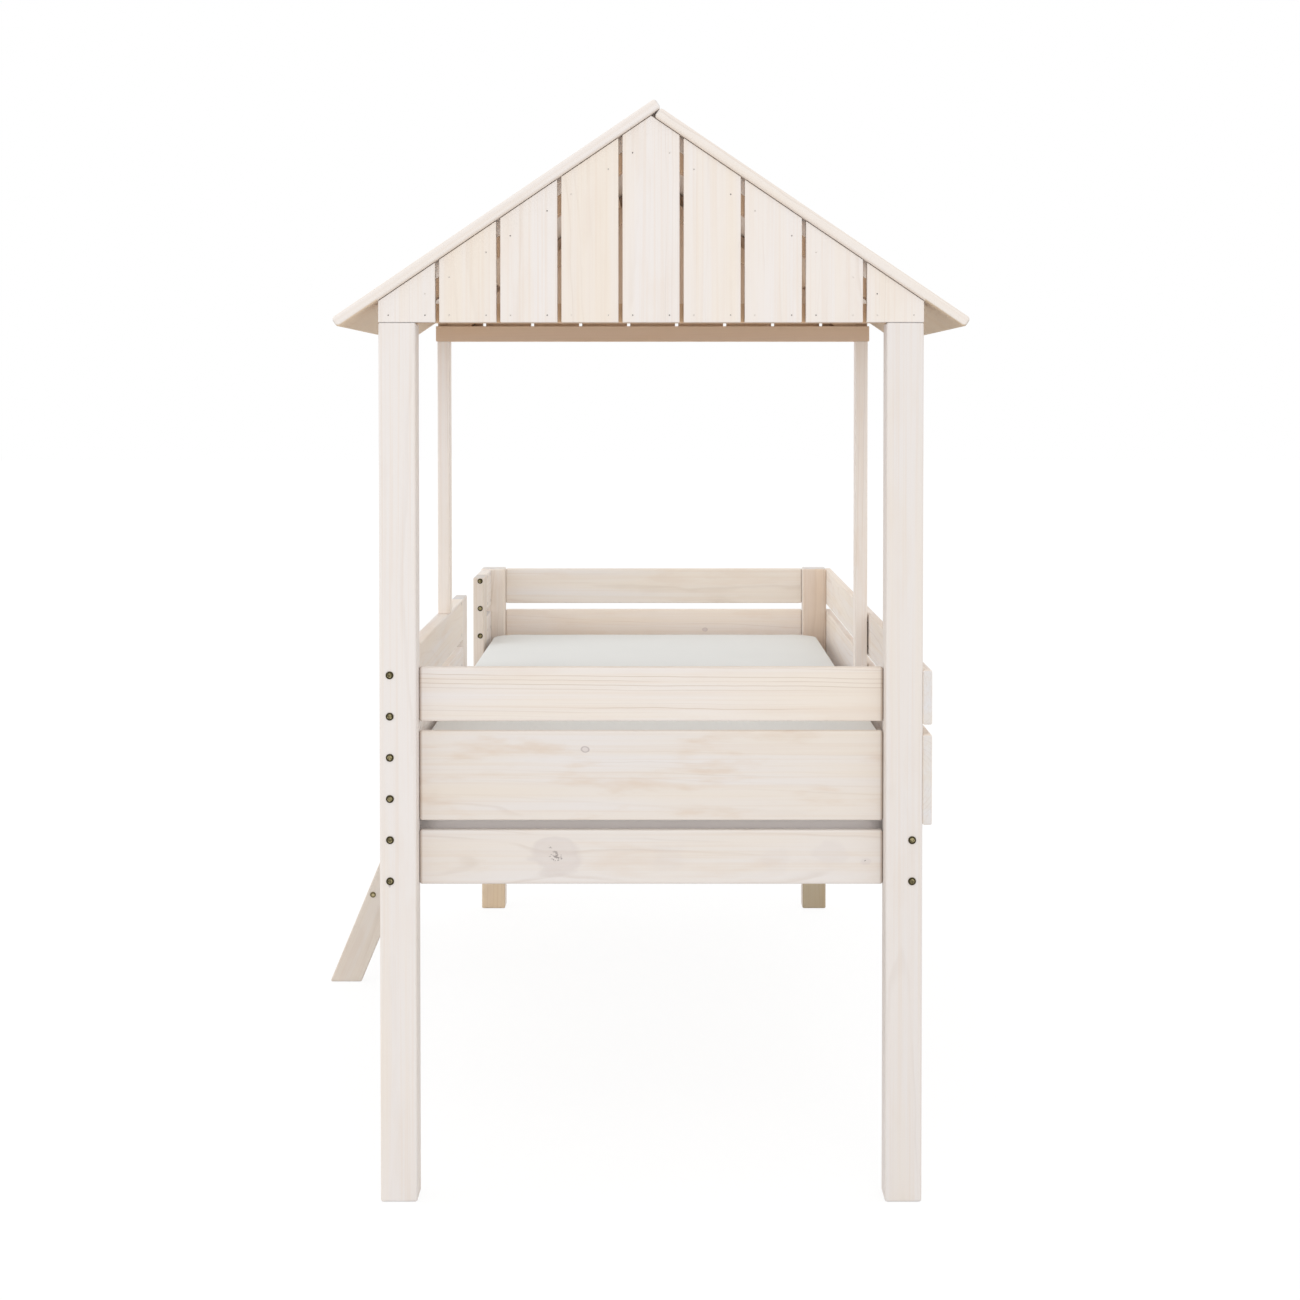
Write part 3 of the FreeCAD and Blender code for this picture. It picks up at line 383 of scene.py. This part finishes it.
def pine(name, board, seed, warmth=0.5, shade=1.0, bare=0.0, blotch=0.4, lines=0.22, knots=(), cells=0.0,
         shaded_face=None, under_bed_shade=None, joint_shade=None, pith_off=None, sway=0.03):
    """Whitewashed pine for one board: milky lilac and cream, tan blotches, broken ring lines and knots.

    warmth goes from lilac white at 0 to cream at 1, shade multiplies every colour and on some boards is
    painted light and shade, and bare goes from a full wash at 0 to plain wood at 1. blotch and lines say
    how strongly the wood shows through. A knot is (along, across, size, patch, ring, heart) from the
    board's middle. cells is the spacing of the boards in one node. shaded_face is the direction of a face
    with painted shade, and its tints within and beyond the bed's sides. under_bed_shade is the painted
    shade that the front takes towards the floor. joint_shade is the distance from the bed's middle of a
    joint with painted shade and shadow, the width of the dark line, and 0 where only the end grain shows
    it or 1 where every face does. pith_off puts the pith so many half widths off the board's middle, and
    sway is how far the rings wander.
    """
    dice = random.Random(seed)
    material, tree, shader = new_material(name)
    coordinates = add(tree, "ShaderNodeTexCoord").outputs
    mapped = add(tree, "ShaderNodeMapping", {"Vector": coordinates["Object"], "Location": board.middle,
                                             "Rotation": board.turn}, vector_type="TEXTURE").outputs[0]
    offset = [dice.uniform(-SEED_REACH, SEED_REACH) for _ in range(3)]
    spread = 2 if board.thin == 1 else 1
    pith = [0.0, 0.0, 0.0]
    pith[spread] = dice.choice((-1, 1)) * (board.half[spread] * dice.uniform(*PITH_ACROSS))
    pith[board.thin] = dice.choice((-1, 1)) * (board.half[board.thin] + dice.uniform(*PITH_BEHIND))
    if pith_off:
        pith[spread] = pith_off * board.half[spread]
    tilt = [0.0, dice.uniform(-GRAIN_SLOPE, GRAIN_SLOPE), dice.uniform(-GRAIN_SLOPE, GRAIN_SLOPE)]
    ring = dice.uniform(*RING_SPACING)
    squash = [KNOT_SQUASH_ALONG, 1.0, 1.0]
    squash[board.thin] = KNOT_SQUASH_THROUGH
    half = list(board.half)
    if cells:
        cell = calc(tree, "ROUND", calc(tree, "DIVIDE", split(tree, mapped)["XYZ"[spread]], cells))
        shift = [0.0, 0.0, 0.0]
        shift[0], shift[spread] = CELL_STEP, -cells
        mapped = vec(tree, "ADD", mapped, times(tree, shift, cell))
        half[spread] = cells / 2
    push, marks = 0.0, []
    for along, across, size, *strengths in knots:
        place = [along, 0.0, 0.0]
        place[spread] = across
        mark = use_group(tree, KNOT, {"Position": mapped, "Place": place, "Squash": squash, "Size": size})
        push = calc(tree, "MULTIPLY_ADD", mark["Push"], strengths[0] * KNOT_BEND, push)
        marks.append((mark, strengths))
    grain = use_group(tree, GRAIN, {"Position": mapped, "Seed": offset, "Pith": pith, "Tilt": tilt,
                                    "Ring": ring, "Push": push, "Sway": sway})
    edge = use_group(tree, EDGES, {"Position": mapped, "Half Size": half, "Reach": EDGE_REACH})["Edge"]

    def washed(colour):
        return tuple(shade * (c + (b - c) * bare) for c, b in zip(colour, PLAIN_WOOD)) + (1.0,)

    def strength(mask, amount):
        return calc(tree, "MULTIPLY", mask, amount)

    def facing(way):
        return vec(tree, "DOT_PRODUCT", coordinates["Normal"], way)

    def off_centre():
        across = split(tree, coordinates["Object"])["X"]
        return calc(tree, "ABSOLUTE", calc(tree, "SUBTRACT", across, BED_MIDDLE))

    drift = calc(tree, "MULTIPLY_ADD", grain["Cloud"], CLOUD_SHARE, warmth - (CLOUD_SHARE + STREAK_SHARE) / 2)
    tone = calc(tree, "MULTIPLY_ADD", grain["Streak"], STREAK_SHARE, drift)
    tone.node.use_clamp = True
    colour = blend(tree, tone, washed(LILAC_WHITE), washed(CREAM_WHITE))
    colour = blend(tree, strength(grain["Blotch"], blotch), colour, washed(BLOTCH_TAN))
    colour = blend(tree, strength(grain["Line"], lines), colour, washed(LINE_BROWN))
    colour = blend(tree, strength(grain["Thread"], THREAD_SHARE), colour, washed(BLOTCH_TAN))
    fibres = step(tree, grain["Fibre"], 0.52, 0.8)
    colour = blend(tree, strength(fibres, FIBRE_SHARE), colour, washed(BLOTCH_TAN))
    end_grain = step(tree, calc(tree, "ABSOLUTE", facing(board.grain)), 0.6, 0.9)
    colour = blend(tree, end_grain, colour, END_TINT, "MULTIPLY")
    colour = blend(tree, strength(edge, EDGE_SHARE), colour, washed(BLOTCH_TAN))
    for mark, (patch, circle, heart) in marks:
        colour = blend(tree, strength(mark["Patch"], patch), colour, washed(KNOT_LILAC))
        colour = blend(tree, strength(mark["Ring"], circle), colour, washed(KNOT_GREY))
        colour = blend(tree, strength(mark["Heart"], heart), colour, washed(KNOT_BROWN))
    # Painted shade: the front darkens below the rails, where the bed shades it
    if under_bed_shade:
        height = split(tree, coordinates["Object"])["Z"]
        front = step(tree, facing((0, -1, 0)), 0.3, 0.7)
        under_bed = calc(tree, "MULTIPLY", step(tree, height, RAIL_BOTTOM, 0.0), front)
        colour = blend(tree, under_bed, colour, under_bed_shade + (1.0,), "MULTIPLY")
    # Painted shade: a dark band where a board meets a post, for the post's shadow and the shade in the joint
    if joint_shade:
        distance, width, on_faces = joint_shade
        away = calc(tree, "ABSOLUTE", calc(tree, "SUBTRACT", off_centre(), distance))
        dark = calc(tree, "MULTIPLY", step(tree, away, width, width * 0.2),
                    calc(tree, "MAXIMUM", end_grain, on_faces))
        colour = blend(tree, dark, colour, JOINT_SHADE_TINT, "MULTIPLY")
    # Painted shade: faces turned this way take a darker tint, one within the bed's sides and one beyond
    if shaded_face:
        way, within, beyond = shaded_face
        turned = step(tree, facing(way), 0.3, 0.7)
        tint = blend(tree, step(tree, off_centre(), BED_SIDE, BED_SIDE + 0.002), within, beyond)
        colour = blend(tree, turned, colour, tint, "MULTIPLY")
    plug(tree, colour, shader.inputs["Base Color"])
    plug(tree, calc(tree, "MULTIPLY_ADD", grain["Fibre"], FIBRE_ROUGHNESS, WOOD_ROUGHNESS),
         shader.inputs["Roughness"])
    shader.inputs["Specular IOR Level"].default_value = WOOD_SPECULAR
    relief = calc(tree, "MULTIPLY_ADD", grain["Line"], -0.4, strength(grain["Fibre"], 0.6))
    bump = add(tree, "ShaderNodeBump", {"Height": relief, "Strength": 0.2, "Distance": 0.0004})
    plug(tree, bump.outputs[0], shader.inputs["Normal"])
    return material


def metal(name, colour, bevel_reflection, roughness):
    """A small metal fitting: a painted dark reflection on its bevels, cloudy tarnish and fine scratches."""
    material, tree, shader = new_material(name)
    coordinates = add(tree, "ShaderNodeTexCoord").outputs
    position = coordinates["Object"]
    cloud = noise(tree, position, (210, 210, 210), 3.0)
    scratch = noise(tree, position, (90, 2600, 900))
    facing = split(tree, vec(tree, "ABSOLUTE", coordinates["Normal"]))
    squarest = calc(tree, "MAXIMUM", facing["X"], calc(tree, "MAXIMUM", facing["Y"], facing["Z"]))
    # Painted reflection: the bevels take a dark colour
    bevel = step(tree, squarest, 0.985, 0.94)
    dull = tuple(c * 0.35 for c in colour) + (1.0,)
    finish = blend(tree, step(tree, cloud, 0.42, 0.58), colour + (1.0,), dull)
    plug(tree, blend(tree, bevel, finish, bevel_reflection + (1.0,)), shader.inputs["Base Color"])
    shader.inputs["Metallic"].default_value = 1.0
    plug(tree, calc(tree, "MULTIPLY_ADD", cloud, 0.25, roughness), shader.inputs["Roughness"])
    bump = add(tree, "ShaderNodeBump", {"Height": scratch, "Strength": 0.2, "Distance": 0.0001})
    plug(tree, bump.outputs[0], shader.inputs["Normal"])
    return material


def mattress_cover(name):
    """A pale knitted mattress cover with a soft nap."""
    material, tree, shader = new_material(name)
    coordinates = add(tree, "ShaderNodeTexCoord").outputs
    knit = use_group(tree, KNIT, {"Position": coordinates["Object"], "Stitch": STITCH})
    upward = split(tree, vec(tree, "ABSOLUTE", coordinates["Normal"]))["Z"]
    colour = blend(tree, knit["Patch"], COVER_PALE, COVER_DULL)
    colour = blend(tree, calc(tree, "MULTIPLY", knit["Loop"], 0.18), colour, COVER_STITCH)
    colour = blend(tree, step(tree, upward, 0.7, 0.3), colour, BORDER_TINT, "MULTIPLY")
    plug(tree, colour, shader.inputs["Base Color"])
    plug(tree, calc(tree, "MULTIPLY_ADD", knit["Fluff"], 0.1, 0.82), shader.inputs["Roughness"])
    shader.inputs["Sheen Weight"].default_value = 0.25
    shader.inputs["Sheen Roughness"].default_value = 0.6
    relief = calc(tree, "MULTIPLY_ADD", knit["Fluff"], 0.4, knit["Loop"])
    bump = add(tree, "ShaderNodeBump", {"Height": relief, "Strength": 0.3, "Distance": 0.0004})
    plug(tree, bump.outputs[0], shader.inputs["Normal"])
    return material


def paint(name, material):
    """Give a carried-over node its finish."""
    slots = nodes[name].data.materials
    slots.clear()
    slots.append(material)


# How each board departs from the usual wash, painted light and shade among it
# Painted shade at board ends: the front posts' shadow on the end boards, and the shade in the groove where the
# right side boards meet the front post
END_JOINT_SHADOW, OUTER_JOINT_SHADE = (POST_INNER_FACE, 0.0075, 1.0), (BED_SIDE, 0.002, 0.0)
GABLE_WARMTH = (0.15, 0.65, 0.30, 0.85, 0.35, 0.60, 0.10, 0.20, 0.35)
# Painted light and shade: a shade above 1 lifts boards that stand in dim light (the roof posts, the right side
# boards, the roof beams and the front rafters), and below 1 it darkens the ladder stiles and the rear guard
# stile
BOARD_FINISHES = {
    "front_post_left": {"warmth": 0.10, "shade": 0.98, "lines": 0.1, "blotch": 0.15},
    "front_post_right": {"warmth": 0.05, "shade": 0.95, "lines": 0.1, "blotch": 0.15},
    "front_end_upper_board": {"warmth": 0.50, "shade": 0.98, "lines": 0.6, "blotch": 0.25,
                              "pith_off": -4.0, "sway": 0.012, "joint_shade": END_JOINT_SHADOW},
    "front_end_middle_board": {"warmth": 0.45, "shade": 0.94, "lines": 0.15, "blotch": 0.9,
                               "joint_shade": END_JOINT_SHADOW},
    "front_end_lower_board": {"warmth": 0.25, "shade": 0.94, "lines": 0.2, "blotch": 0.45,
                              "joint_shade": END_JOINT_SHADOW},
    "rear_end_middle_board": {"bare": 0.12, "shade": 1.12},
    # The rear legs' under-bed tints are painted shade
    "rear_leg_left": {"bare": 0.05, "shade": 1.03, "lines": 0.2, "under_bed_shade": (0.97, 0.87, 0.71)},
    "rear_leg_right": {"bare": 0.05, "shade": 1.02, "lines": 0.3, "under_bed_shade": (0.645, 0.635, 0.52)},
    "rear_guard_stile": {"shade": 0.94, "warmth": 0.9, "bare": 0.12},
    "ladder_stile_front": {"shade": 0.93, "warmth": 0.7},
    "ladder_stile_rear": {"shade": 0.93, "warmth": 0.7},
    "guard_upper_board": {"shade": 1.05, "lines": 0.1},
    "guard_middle_board": {"shade": 1.05, "lines": 0.1},
    "right_side_upper_board": {"shade": 1.06, "warmth": 0.5, "joint_shade": OUTER_JOINT_SHADE},
    "right_side_middle_board": {"shade": 1.06, "warmth": 0.5, "joint_shade": OUTER_JOINT_SHADE},
    "roof_post_left": {"shade": 1.13, "warmth": 0.3},
    "roof_post_right": {"shade": 1.13, "warmth": 0.2},
    "rear_roof_beam": {"shade": 1.16, "bare": 0.75},
    "roof_panel_left": {"warmth": 0.1, "blotch": 0.2},
    "roof_panel_right": {"warmth": 0.1, "blotch": 0.2},
    "front_roof_beam": {"bare": 1.0, "shade": 1.1},
    "front_rafter_left": {"bare": 0.9, "shade": 1.2},
    "front_rafter_right": {"bare": 0.9, "shade": 1.2},
}
BOARD_FINISHES.update({f"front_gable_board_{number}": {"warmth": warmth, "lines": 0.15, "blotch": 0.2}
                       for number, warmth in enumerate(GABLE_WARMTH, start=1)})
# Knots, as (along, across, size, patch, ring, heart) from the board's middle
KNOTS = {
    "front_end_lower_board": [
        (-0.171, 0.002, 0.034, 0.32, 0.06, 0.65), (0.389, -0.008, 0.007, 0.3, 0.0, 1.0),
        (0.034, 0.0, 0.026, 0.12, 0.0, 0.0), (0.227, -0.008, 0.022, 0.10, 0.0, 0.0),
        (0.323, 0.008, 0.024, 0.16, 0.0, 0.0)],
    "front_end_middle_board": [(-0.120, 0.048, 0.0062, 0.5, 0.7, 0.0)],
    "front_post_left": [(-0.219, 0.015, 0.003, 0.9, 0.3, 0.5)],
    "rear_end_middle_board": [(0.145, 0.0235, 0.006, 0.8, 0.3, 0.0)],
}
# The darker colour of each fitting is a painted reflection on its bevels
BRASS, BRASS_BEVEL_REFLECTION = (0.42, 0.36, 0.20), (0.055, 0.045, 0.022)
FITTINGS = {
    "frame_bolts": metal("bolt_brass", BRASS, BRASS_BEVEL_REFLECTION, 0.30),
    "ladder_bolts": metal("ladder_bolt_brass", (0.66, 0.57, 0.34), (0.16, 0.13, 0.06), 0.30),
    "barrel_nuts": metal("nut_steel", (0.60, 0.59, 0.57), (0.40, 0.39, 0.37), 0.35),
    "gable_nails": metal("nail_steel", (0.84, 0.78, 0.72), (0.62, 0.54, 0.47), 0.50),
    "wood_screws": metal("screw_steel", (0.62, 0.58, 0.48), (0.40, 0.37, 0.30), 0.32),
}
# How bare the inner wood is, by a word in its name
BARE = {"rafter": 0.75, "batten": 0.75, "ledger": 0.55, "slats": 0.75, "dowels": 0.85}
# Faces with painted shade, by how the names begin: the direction, and the tints within and beyond the sides
SHADED_FACES = {
    "front_gable": ((0, 1, 0), GABLE_BACK_SHADE, GABLE_BACK_SHADE),
    "rear_gable": ((0, -1, 0), GABLE_BACK_SHADE, GABLE_BACK_SHADE),
    "roof_panel_left": ((0, 0, -1), CEILING_SHADE, LEFT_EAVE_SHADE),
    "roof_panel_right": ((0, 0, -1), CEILING_SHADE, RIGHT_EAVE_SHADE),
    "rear_leg_right": ((0, -1, 0), LEG_FRONT_SHADE, LEG_FRONT_SHADE),
    "right_side_middle": ((0, 0, 1), OUTER_TOP_SHADE, OUTER_TOP_SHADE),
    "right_side_upper": ((0, 0, 1), OUTER_TOP_SHADE, OUTER_TOP_SHADE),
}
# Spacing of the boards in a node that looks like several
BOARD_CELLS = {"bed_slats": SLAT_SPACING, "rear_gable_boards": GABLE_BOARD_SPACING,
               "roof_panel_left": ROOF_BOARD_SPACING, "roof_panel_right": ROOF_BOARD_SPACING}


def finish_boards():
    """Every wooden node gets its own pine, seeded by its place in the sorted list of names."""
    for seed, name in enumerate(sorted(nodes), start=1):
        if name in FITTINGS:
            paint(name, FITTINGS[name])
        elif name != "mattress":
            finish = {
                "warmth": random.Random(seed * 17).uniform(0.35, 0.75),
                "bare": next((amount for word, amount in BARE.items() if word in name), 0.0),
                "shaded_face": next((face for word, face in SHADED_FACES.items() if name.startswith(word)), None),
                "cells": BOARD_CELLS.get(name, 0.0),
                "knots": KNOTS.get(name, ()),
                **BOARD_FINISHES.get(name, {}),
            }
            paint(name, pine(f"pine_{name}", Board(name), seed, **finish))


# Mattress


def spaced(half, roll, corner, count):
    """Grid lines from -half to half, close together over the rolled edge and even between the corners."""
    bend = roll + (corner - roll) * BEND_ROWS
    low = np.concatenate([EDGE_ROWS * roll, bend]) - half
    return np.concatenate([low, np.linspace(corner - half, half - corner, count), -low[::-1]])


def block_grid(xs, ys, zs):
    """The six faces of a block as one closed grid: points, and quads that face outwards."""
    points, quads, count = [], [], 0
    for axis, lines in enumerate((xs, ys, zs)):
        others = [(xs, ys, zs)[(axis + 1) % 3], (xs, ys, zs)[(axis + 2) % 3]]
        for end in (lines[0], lines[-1]):
            second, third = np.meshgrid(*others, indexing="ij")
            face = np.empty(second.shape + (3,))
            face[..., axis], face[..., (axis + 1) % 3], face[..., (axis + 2) % 3] = end, second, third
            index = count + np.arange(second.size).reshape(second.shape)
            loop = [index[:-1, :-1], index[1:, :-1], index[1:, 1:], index[:-1, 1:]]
            quads.append(np.stack(loop if end > 0 else loop[::-1], axis=-1).reshape(-1, 4))
            points.append(face.reshape(-1, 3))
            count += second.size
    merged, place = np.unique(np.concatenate(points).round(6), axis=0, return_inverse=True)
    return merged, place.reshape(-1)[np.concatenate(quads)]


def rounded_off(first, second, radius):
    """Square corner regions turned into quarter discs, and how far inside the outline each point is.

    Where both first and second are above 0, they are scaled by max(first, second) / hypot(first, second).
    """
    both = (first > 0) & (second > 0)
    farther = np.maximum(first, second)
    scale = np.where(both, farther / np.where(both, np.hypot(first, second), 1.0), 1.0)
    return first * scale, second * scale, radius - farther


def mattress_form(half, corner=0.070, roll=0.005, waist=0.004, seam=0.0015, crown=MATTRESS_CROWN):
    """A mattress about the origin, worked out on the grid of a plain block.

    In plan the block's corners are drawn in to quarter discs of the corner radius. The edges of its top
    and underside are drawn in the same way to the roll. The sides are drawn in by waist * (1 - (z/c)^2)
    and by a narrow seam at half height, and the top rises by crown * (1 - (x/a)^4) * (1 - (y/b)^4).
    """
    a, b, c = half
    edge = EDGE_ROWS * roll - c
    points, quads = block_grid(spaced(a, roll, corner, ROWS_ACROSS), spaced(b, roll, corner, ROWS_ALONG),
                               np.concatenate([edge, SIDE_ROWS * (c - roll), -edge[::-1]]))
    x, y, z = points.T
    past_x, past_y, inset = rounded_off(np.abs(x) - (a - corner), np.abs(y) - (b - corner), corner)
    reach_x, reach_y = past_x + a - corner, past_y + b - corner
    in_corner = (past_x > 0) & (past_y > 0)
    steep = np.hypot(past_x, past_y) + 1e-12
    along_x = np.where(in_corner, past_x / steep, (past_x >= past_y).astype(float))
    along_y = np.where(in_corner, past_y / steep, (past_x < past_y).astype(float))
    over, up, _ = rounded_off(roll - inset, np.abs(z) - (c - roll), roll)
    on_roll = (inset < roll) & (np.abs(z) > c - roll)
    rolled = np.where(on_roll, roll - over - inset, 0.0)
    height = np.where(on_roll, up + c - roll, np.abs(z)) * np.sign(z)
    near_seam = np.exp(-((height / SEAM_WIDTH) ** 2))
    drawn_in = rolled + np.where(inset < roll, waist * (1 - (height / c) ** 2) + seam * near_seam, 0.0)
    new_x = np.sign(x) * (reach_x - drawn_in * along_x)
    new_y = np.sign(y) * (reach_y - drawn_in * along_y)
    rise = crown * (1 - (new_x / a) ** 4) * (1 - (new_y / b) ** 4) * np.clip(height / c, 0, 1) ** 2
    return np.stack([new_x, new_y, height + rise], axis=-1), quads


def swell(piece, pinned, most):
    """Blow the cover up by cloth simulation, with no gravity, its underside held and its movement capped."""
    start = np.empty(len(piece.data.vertices) * 3)
    piece.data.vertices.foreach_get("co", start)
    start = start.reshape(-1, 3)
    held = piece.vertex_groups.new(name="underside")
    held.add(np.flatnonzero(pinned).tolist(), 1.0, "REPLACE")
    cloth = piece.modifiers.new("cover_cloth", "CLOTH")
    cloth.settings.quality = 5
    cloth.settings.mass = 0.3
    cloth.settings.tension_stiffness = cloth.settings.compression_stiffness = 15
    cloth.settings.shear_stiffness = 5
    cloth.settings.bending_stiffness = 0.5
    cloth.settings.shrink_min = -0.006
    cloth.settings.use_pressure = True
    cloth.settings.uniform_pressure_force = 4.0
    cloth.settings.vertex_group_mass = held.name
    cloth.settings.effector_weights.gravity = 0.0
    cloth.collision_settings.use_collision = False
    scene = bpy.context.scene
    for moment in range(1, SWELL_FRAMES + 1):
        scene.frame_set(moment)
    blown = piece.evaluated_get(bpy.context.evaluated_depsgraph_get()).to_mesh()
    end = np.empty(start.size)
    blown.vertices.foreach_get("co", end)
    moved = end.reshape(-1, 3) - start
    length = np.linalg.norm(moved, axis=1, keepdims=True)
    capped = start + moved * np.minimum(1.0, most / np.maximum(length, 1e-9))
    piece.modifiers.remove(cloth)
    piece.vertex_groups.remove(held)
    scene.frame_set(1)
    piece.data.vertices.foreach_set("co", capped.ravel())
    piece.data.update()


def make_mattress():
    """The soft mattress in the space of its plain solid.

    As its top swells, its sides are pulled in by about the most that it may move, so it starts that much
    wider and longer.
    """
    low, high = (np.array(corner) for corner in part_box("mattress"))
    half = (high - low) / 2 + np.array([COVER_TRAVEL, COVER_TRAVEL, -MATTRESS_CROWN / 2])
    points, quads = mattress_form(half)
    middle = (low + high) / 2
    middle[2] = low[2] + half[2]
    mesh = bpy.data.meshes.new("mattress_cover")
    mesh.from_pydata((points + middle).tolist(), [], quads.tolist())
    mesh.update()
    piece = bpy.data.objects.new("mattress_cover", mesh)
    bpy.context.scene.collection.objects.link(piece)
    mesh.polygons.foreach_set("use_smooth", np.ones(len(mesh.polygons), dtype=bool))
    swell(piece, points[:, 2] < -half[2] + 1e-6, COVER_TRAVEL)
    smoothing = piece.modifiers.new("soft_cover", "SUBSURF")
    smoothing.levels = smoothing.render_levels = 1
    mesh.materials.append(mattress_cover("mattress_knit"))
    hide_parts("mattress")
    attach(piece, "mattress")


# Stage


def make_floor():
    """A pale floor: diffuse for the light it sends on, and nearly white to the camera with soft shadows."""
    mesh = bpy.data.meshes.new("studio_floor")
    corners = [(-1, -1), (1, -1), (1, 1), (-1, 1)]
    mesh.from_pydata([(x * FLOOR_REACH, y * FLOOR_REACH, FLOOR_LEVEL) for x, y in corners], [], [(0, 1, 2, 3)])
    floor = bpy.data.objects.new("studio_floor", mesh)
    bpy.context.scene.collection.objects.link(floor)
    material = bpy.data.materials.new("studio_floor")
    material.use_nodes = True
    tree = material.node_tree
    tree.nodes.clear()
    pale = add(tree, "ShaderNodeBsdfDiffuse", {"Color": FLOOR_PALE})
    bright = add(tree, "ShaderNodeBsdfDiffuse", {"Color": WHITE})
    white = add(tree, "ShaderNodeEmission", {"Color": WHITE, "Strength": FLOOR_GLOW})
    shown = add(tree, "ShaderNodeMixShader", {0: FLOOR_SHADOWS, 1: white.outputs[0], 2: bright.outputs[0]})
    both = add(tree, "ShaderNodeMixShader", {0: seen_directly(tree), 1: pale.outputs[0], 2: shown.outputs[0]})
    add(tree, "ShaderNodeOutputMaterial", {"Surface": both.outputs[0]})
    mesh.materials.append(material)


def make_world():
    """Even studio light from all round, white where it is seen directly."""
    world = bpy.data.worlds.new("studio")
    world.use_nodes = True
    tree = world.node_tree
    tree.nodes.clear()
    light = add(tree, "ShaderNodeBackground", {"Color": SKY_COLOUR, "Strength": SKY_STRENGTH})
    white = add(tree, "ShaderNodeBackground", {"Color": WHITE, "Strength": 1.0})
    both = add(tree, "ShaderNodeMixShader", {0: seen_directly(tree), 1: light.outputs[0], 2: white.outputs[0]})
    add(tree, "ShaderNodeOutputWorld", {"Surface": both.outputs[0]})
    bpy.context.scene.world = world


def make_lamp(name, place, target, size, power):
    """A soft square lamp at one place, aimed at another."""
    lamp = bpy.data.lights.new(name, "AREA")
    lamp.shape, lamp.size, lamp.energy = "SQUARE", size, power
    body = bpy.data.objects.new(name, lamp)
    bpy.context.scene.collection.objects.link(body)
    body.location = place
    body.rotation_euler = (Vector(target) - Vector(place)).to_track_quat("-Z", "Y").to_euler()


def make_camera():
    """Level with the upper posts, looking along the bed, with the lens shifted down as photographed."""
    data = bpy.data.cameras.new("photo_camera")
    data.sensor_width = SENSOR_WIDTH
    data.lens = SENSOR_WIDTH * FOCAL_LENGTH / PHOTO_SIDE
    data.shift_x, data.shift_y = (shift / PHOTO_SIDE for shift in LENS_SHIFT)
    data.clip_end = 5 * FLOOR_REACH
    camera = bpy.data.objects.new("photo_camera", data)
    bpy.context.scene.collection.objects.link(camera)
    camera.location = CAMERA_PLACE
    camera.rotation_euler = (math.radians(90 - CAMERA_DIP), 0.0, 0.0)
    bpy.context.scene.camera = camera


finish_boards()
make_mattress()
make_floor()
make_world()
for lamp in LAMPS:
    make_lamp(*lamp)
make_camera()
bpy.context.scene.view_settings.view_transform = "Standard"
